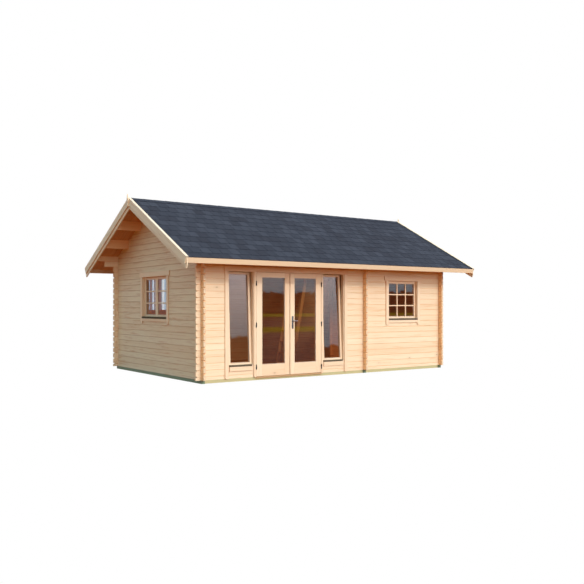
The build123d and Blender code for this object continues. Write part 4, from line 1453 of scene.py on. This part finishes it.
class CABIN_OT_handle(CabinStep, bpy.types.Operator):
    """Make the handle plates, the lock cylinders and the levers"""

    bl_idname = "cabin.handle"
    bl_label = "Door handle"

    centre = (-1.034, 1.089)  # the spindle
    faces = {-1: -1.953, 1: -1.913}  # leaf faces, by the side they look to
    half, ends, thickness = 0.020, (0.9375, 1.1825), 0.004  # of the plates
    corner, arris = 0.016, 0.0012
    seat = 0.003  # where the parts on a plate start, from the leaf's face
    collar, collar_out, collar_ease = 0.0125, 0.012, 0.002
    lock, lock_out, lock_ease, lock_drop = 0.0085, 0.007, 0.0008, 0.072
    tail, tail_reach = 0.005, (0.024, 0.002)  # half width, and ends below the lock's middle
    screw, screw_out, screw_ease, screws = 0.0042, 0.0052, 0.0009, (0.952, 1.168)
    spindle, spindle_out, spindle_ease = 0.0065, 0.010, 0.001
    bar_radius, neck = 0.0085, (0.008, 0.034)  # the neck's ends, from the leaf's face
    bend = 0.012
    swell = 0.040  # from the bend to the deepest place of the grip
    grip = 0.103  # from the spindle to the tip of the lever
    tip_ease = 0.004

    @staticmethod
    def across(a, b):
        """True for the edges round the ends of a bar."""
        return abs(a.y - b.y) < HAIR

    def bar(self, radius, near, far, z, sides=24):
        """A round bar that stands out from the leaf."""
        return turned_bar(radius, (self.centre[0], (near + far) / 2, z), abs(far - near), sides, 90)

    def plate(self, side):
        """A long plate with round corners, a collar round the spindle, the lock and two screws."""
        x, z = self.centre
        face = self.faces[side]
        heights = (self.seat, self.thickness, self.collar_out, self.lock_out, self.screw_out)
        seat, top, rim, lock_top, screw_top = (face + side * height for height in heights)
        low, high = sorted((face, top))
        made = block((x - self.half, low, self.ends[0]), (x + self.half, high, self.ends[1]))
        ease(made, self.corner, 6, lambda a, b: abs(a.x - b.x) < HAIR and abs(a.z - b.z) < HAIR)
        ease(made, self.arris, 2, edges_at(1, top))
        collar = self.bar(self.collar, seat, rim, z)
        ease(collar, self.collar_ease, 2, edges_at(1, rim))
        lock_z = z - self.lock_drop
        barrel = self.bar(self.lock, seat, lock_top, lock_z)
        ease(barrel, self.lock_ease, test=self.across)
        low, high = sorted((seat, lock_top))
        far, near = self.tail_reach
        tail = block((x - self.tail, low, lock_z - far), (x + self.tail, high, lock_z - near))
        ease(tail, self.arris, 2)
        parts = [made, collar, barrel, tail]
        for height in self.screws:
            screw = self.bar(self.screw, seat, screw_top, height, 16)
            ease(screw, self.screw_ease, test=self.across)
            parts.append(screw)
        return parts

    def lever(self, side):
        """A lever that leaves the collar, bends towards the hinges and ends in a rounded grip."""
        x, z = self.centre
        start, turn = (self.faces[side] + side * out for out in self.neck)
        middle_y = turn + side * self.bend
        end = x + self.grip
        made = self.bar(self.bar_radius, start, turn, z)
        pick(made, "FACE", lambda centre, normal: abs(centre.y - turn) < HAIR and abs(normal.y) > 0.9)
        with editing(made):
            bpy.ops.mesh.spin(
                steps=6, angle=math.radians(90) * -side, center=(x + self.bend, turn, z), axis=(0, 0, 1)
            )
        far = max(corner.co.x for corner in made.data.vertices)
        pick(made, "FACE", lambda centre, normal: abs(centre.x - far) < HAIR and abs(normal.x) > 0.9)
        with editing(made):
            for place, size in ((far + self.swell, (1, 0.9, 1.12)), (end, (1, 0.9, 0.95))):
                bpy.ops.mesh.extrude_region_move(TRANSFORM_OT_translate={"value": (place - far, 0, 0)})
                bpy.ops.transform.resize(value=size, center_override=(place, middle_y, z))
                far = place
        ease(made, self.tip_ease, 3, edges_at(0, end))
        return made

    def build(self, scene):
        piece = smooth(joined("handle_plates_and_locks", self.plate(-1) + self.plate(1)))
        hand_over(piece, "handle_plate", "right_door", "handle_plates")
        outer, inner = self.faces[-1] - self.spindle_out, self.faces[1] + self.spindle_out
        spindle = self.bar(self.spindle, outer, inner, self.centre[1], 16)
        ease(spindle, self.spindle_ease, test=self.across)
        piece = smooth(joined("levers", [self.lever(-1), self.lever(1), spindle]), 50)
        hand_over(piece, "lever_steel", "lever", "door_lever")


class CABIN_OT_ladder(CabinStep, bpy.types.Operator):
    """Build the ladder that leans on the wall between the rooms"""

    bl_idname = "cabin.ladder"
    bl_label = "Ladder"

    lean = math.radians(11.0)
    foot = 0.2560
    bottom = 0.060
    top = 2.200
    rails = (-0.035, 0.565)
    rail = (0.080, 0.014, 0.003)  # depth, half thickness and rounding
    stock = 1.3  # half the length that a rail is cut from
    rungs, spacing = 8, 0.250
    rung = (0.030, 0.012, 0.005)  # half depth, half thickness and rounding

    def build(self, scene):
        depth, half, round_over = self.rail
        middle = self.foot + depth / math.cos(self.lean) / 2
        half_way = (self.top - self.bottom) / 2
        parts = []
        for y in self.rails:
            ends = (-depth / 2, y - half, -self.stock), (depth / 2, y + half, self.stock)
            rail = board(*ends, "z", round_over, 2)
            rail.rotation_euler = (0, self.lean, 0)
            rail.location = (middle + half_way * math.tan(self.lean), 0, self.bottom + half_way)
            bake_place(rail)
            cut(rail, (0, 0, self.bottom), (0, 0, -1))
            cut(rail, (0, 0, self.top), (0, 0, 1))
            parts.append(rail)
        deep, half, round_over = self.rung
        for index in range(1, self.rungs + 1):
            height = index * self.spacing
            x, z = middle + height * math.tan(self.lean), self.bottom + height
            ends = (x - deep, self.rails[0], z - half), (x + deep, self.rails[1], z + half)
            parts.append(board(*ends, "y", round_over, 2))
        hand_over(joined("leaning_ladder", parts), "ladder_rails", "cabin", "ladder")


class CABIN_OT_stage(CabinStep, bpy.types.Operator):
    """Set up the floor, the lights and the camera"""

    bl_idname = "cabin.stage"
    bl_label = "Stage"

    floor_size = 400
    # where each green strip begins and ends, away from the front
    strips = (((62.0, 68.0), (88.0, 96.0)), ((21.0, 23.0), (28.0, 31.0)))
    room_lights = (
        ("room_light", (0.92, 1.0, 1.0), (0.0, -1.74, 1.60), (80, -12), 48, 0.6),
        ("corner_light", (1.0, 0.60, 0.40), (1.2, -0.8, 1.30), (68, -34), 50, 1.0),
    )  # name, colour, place, aim in degrees, width in degrees and softness of the rim
    lamp_radius = 0.05

    def placed(self, name, data, place, turn):
        item = bpy.data.objects.new(name, data)
        bpy.context.collection.objects.link(item)
        item.location = place
        item.rotation_euler = turn
        return item

    def lamp(self, name, kind, power, tint, place, turn, **settings):
        """A light of one kind on the stage."""
        light = bpy.data.lights.new(name, kind)
        light.energy = power
        light.color = tint
        for key, value in settings.items():
            setattr(light, key, value)
        made = self.placed(name, light, place, turn)
        return made

    def sun(self, settings, name, power, kind):
        """A far light, at its height above the floor and its turn to the right of the front."""
        height, side, size = (getattr(settings, f"{kind}_{part}") for part in ("height", "side", "size"))
        turn = (math.radians(90) - height, 0, side)
        return self.lamp(name, "SUN", power, settings.light_tint, (0, 0, 0), turn, angle=size)

    def set_lights(self, settings):
        self.sun(settings, "key_light", settings.sun, "sun")
        fill = self.sun(settings, "front_fill", settings.front_fill, "fill")
        fill.visible_glossy = fill.visible_transmission = False
        for name, tone, place, aim, width, rim in self.room_lights:
            made = self.lamp(
                name,
                "SPOT",
                getattr(settings, name),
                tone,
                place,
                (math.radians(aim[0]), 0, math.radians(aim[1])),
                spot_size=math.radians(width),
                spot_blend=rim,
                shadow_soft_size=self.lamp_radius,
            )
            made.visible_camera = made.visible_glossy = made.visible_transmission = False

    def lay_floor(self, settings):
        """Pale to the camera, dark to the light that bounces under the roof, and fields to the panes."""
        deselect()
        bpy.ops.mesh.primitive_plane_add(size=self.floor_size, location=(0, 0, 0))
        ground = bpy.context.object
        ground.name = "studio_floor"
        made, tree = new_material("studio_floor")
        seen = add_node(tree, "ShaderNodeEmission", {"Color": settings.floor, "Strength": 1.0})[0]
        dull = add_node(tree, "ShaderNodeBsdfDiffuse", {"Color": settings.bounce})[0]
        away = coordinate(tree, "Object")["Y"] * -1.0
        far, near = (ramp(away, *rise) * ramp(away, *fall, 1.0, 0.0) for rise, fall in self.strips)
        fields = blend(ramp(away, 15.0, 100.0), settings.field, settings.land)
        fields = blend(far + near, fields, settings.meadow)
        land = add_node(tree, "ShaderNodeEmission", {"Color": fields, "Strength": 1.0})[0]
        path = add_node(tree, "ShaderNodeLightPath")
        mirrored = maths("MAXIMUM", path["Is Glossy Ray"], path["Is Transmission Ray"])
        unseen = add_node(tree, "ShaderNodeMixShader", {0: mirrored, 1: dull, 2: land})[0]
        shader = add_node(tree, "ShaderNodeMixShader", {0: path["Is Camera Ray"], 1: unseen, 2: seen})[0]
        add_node(tree, "ShaderNodeOutputMaterial", {"Surface": shader})
        ground.data.materials.append(made)

    def mirrored_world(self, tree, settings):
        """What the panes mirror: a skyline of trees under haze in front, and pale uprights behind."""
        way = coordinate(tree, "Generated")
        height = way["Z"]
        bearing = maths("ARCTAN2", way["X"], way["Y"] * -1.0)
        grove = ramp(bearing, math.radians(31.9), math.radians(32.6), math.radians(-1.0), 0.0)
        crowns = noise(way, 130.0) * 0.016 - 0.008
        top = math.sin(settings.skyline)
        sky_share = ramp(height + (crowns + grove), top - 0.001, top + 0.002)
        rise = ramp(height, math.sin(math.radians(1.0)), math.sin(math.radians(8.0)))
        front = blend(sky_share, settings.land, blend(rise, settings.low_sky, settings.haze))
        folds = noise(combine(tree, X=bearing * 240.0), 1.0, 1.0)
        rear = blend(ramp(folds, 0.44, 0.50), settings.rear_gap, settings.rear_sky)
        rear = blend(ramp(folds, 0.54, 0.60), rear, settings.rear_fold)
        side = blend(ramp(way["Y"], -0.1, 0.1), front, rear)
        return blend(ramp(height, 0.17, 0.30), side, settings.mirror)

    def set_world(self, scene, settings):
        """Even light from all sides, white to the camera."""
        world = bpy.data.worlds.new("studio")
        scene.world = world
        world.use_nodes = True
        tree = world.node_tree
        tree.nodes.clear()
        path = add_node(tree, "ShaderNodeLightPath")
        in_panes = maths("MAXIMUM", path["Is Glossy Ray"], path["Is Transmission Ray"])
        even = tuple(settings.surround * part for part in settings.surround_tint)
        light = blend(in_panes, even, self.mirrored_world(tree, settings))
        light = blend(path["Is Camera Ray"], light, (1.0, 1.0, 1.0))
        sky = add_node(tree, "ShaderNodeBackground", {"Color": light, "Strength": 1.0})[0]
        add_node(tree, "ShaderNodeOutputWorld", {"Surface": sky})

    def set_camera(self, scene, settings):
        scene.view_settings.view_transform = "Standard"
        camera = bpy.data.cameras.new("camera")
        camera.lens = settings.lens
        camera.sensor_width = 36.0
        camera.shift_y = settings.rise
        camera.clip_end = 500.0
        scene.camera = self.placed("camera", camera, settings.eye, (math.radians(90), 0, -settings.heading))

    def build(self, scene):
        settings = scene.cabin_stage
        self.lay_floor(settings)
        self.set_lights(settings)
        self.set_world(scene, settings)
        self.set_camera(scene, settings)


STEPS = (
    CABIN_OT_log_walls,
    CABIN_OT_foundation,
    CABIN_OT_floor_boards,
    CABIN_OT_roof_boards,
    CABIN_OT_shingles,
    CABIN_OT_ridge_caps,
    CABIN_OT_verges,
    CABIN_OT_finials,
    CABIN_OT_door_frame,
    CABIN_OT_door_leaves,
    CABIN_OT_side_panels,
    CABIN_OT_front_window,
    CABIN_OT_gable_window,
    CABIN_OT_drip_strips,
    CABIN_OT_hinges,
    CABIN_OT_handle,
    CABIN_OT_ladder,
    CABIN_OT_stage,
)

PROPERTIES = (
    ("cabin_colours", CabinColours),
    ("cabin_boards", BoardSizes),
    ("cabin_shingles", ShingleSizes),
    ("cabin_joinery", JoinerySizes),
    ("cabin_stage", StageSettings),
)


class CABIN_PT_steps(bpy.types.Panel):
    """The steps that finish the cabin, in order"""

    bl_idname = "CABIN_PT_steps"
    bl_label = "Log cabin"
    bl_space_type = "VIEW_3D"
    bl_region_type = "UI"
    bl_category = "Cabin"

    def draw(self, context):
        for title, _ in PROPERTIES:
            box = self.layout.box()
            box.label(text=title.replace("_", " ").title())
            group = getattr(context.scene, title)
            for name in group.bl_rna.properties.keys():
                if name not in ("rna_type", "name"):
                    box.prop(group, name)
        for step in STEPS:
            self.layout.operator(step.bl_idname)


def register():
    for name, group in PROPERTIES:
        bpy.utils.register_class(group)
        setattr(bpy.types.Scene, name, bpy.props.PointerProperty(type=group))
    for step in STEPS:
        bpy.utils.register_class(step)
    bpy.utils.register_class(CABIN_PT_steps)


def unregister():
    bpy.utils.unregister_class(CABIN_PT_steps)
    for step in reversed(STEPS):
        bpy.utils.unregister_class(step)
    for name, group in reversed(PROPERTIES):
        delattr(bpy.types.Scene, name)
        bpy.utils.unregister_class(group)


def main():
    register()
    for step in STEPS:
        name = step.bl_idname.split(".")[1]
        getattr(bpy.ops.cabin, name)()


if __name__ == "__main__":
    main()
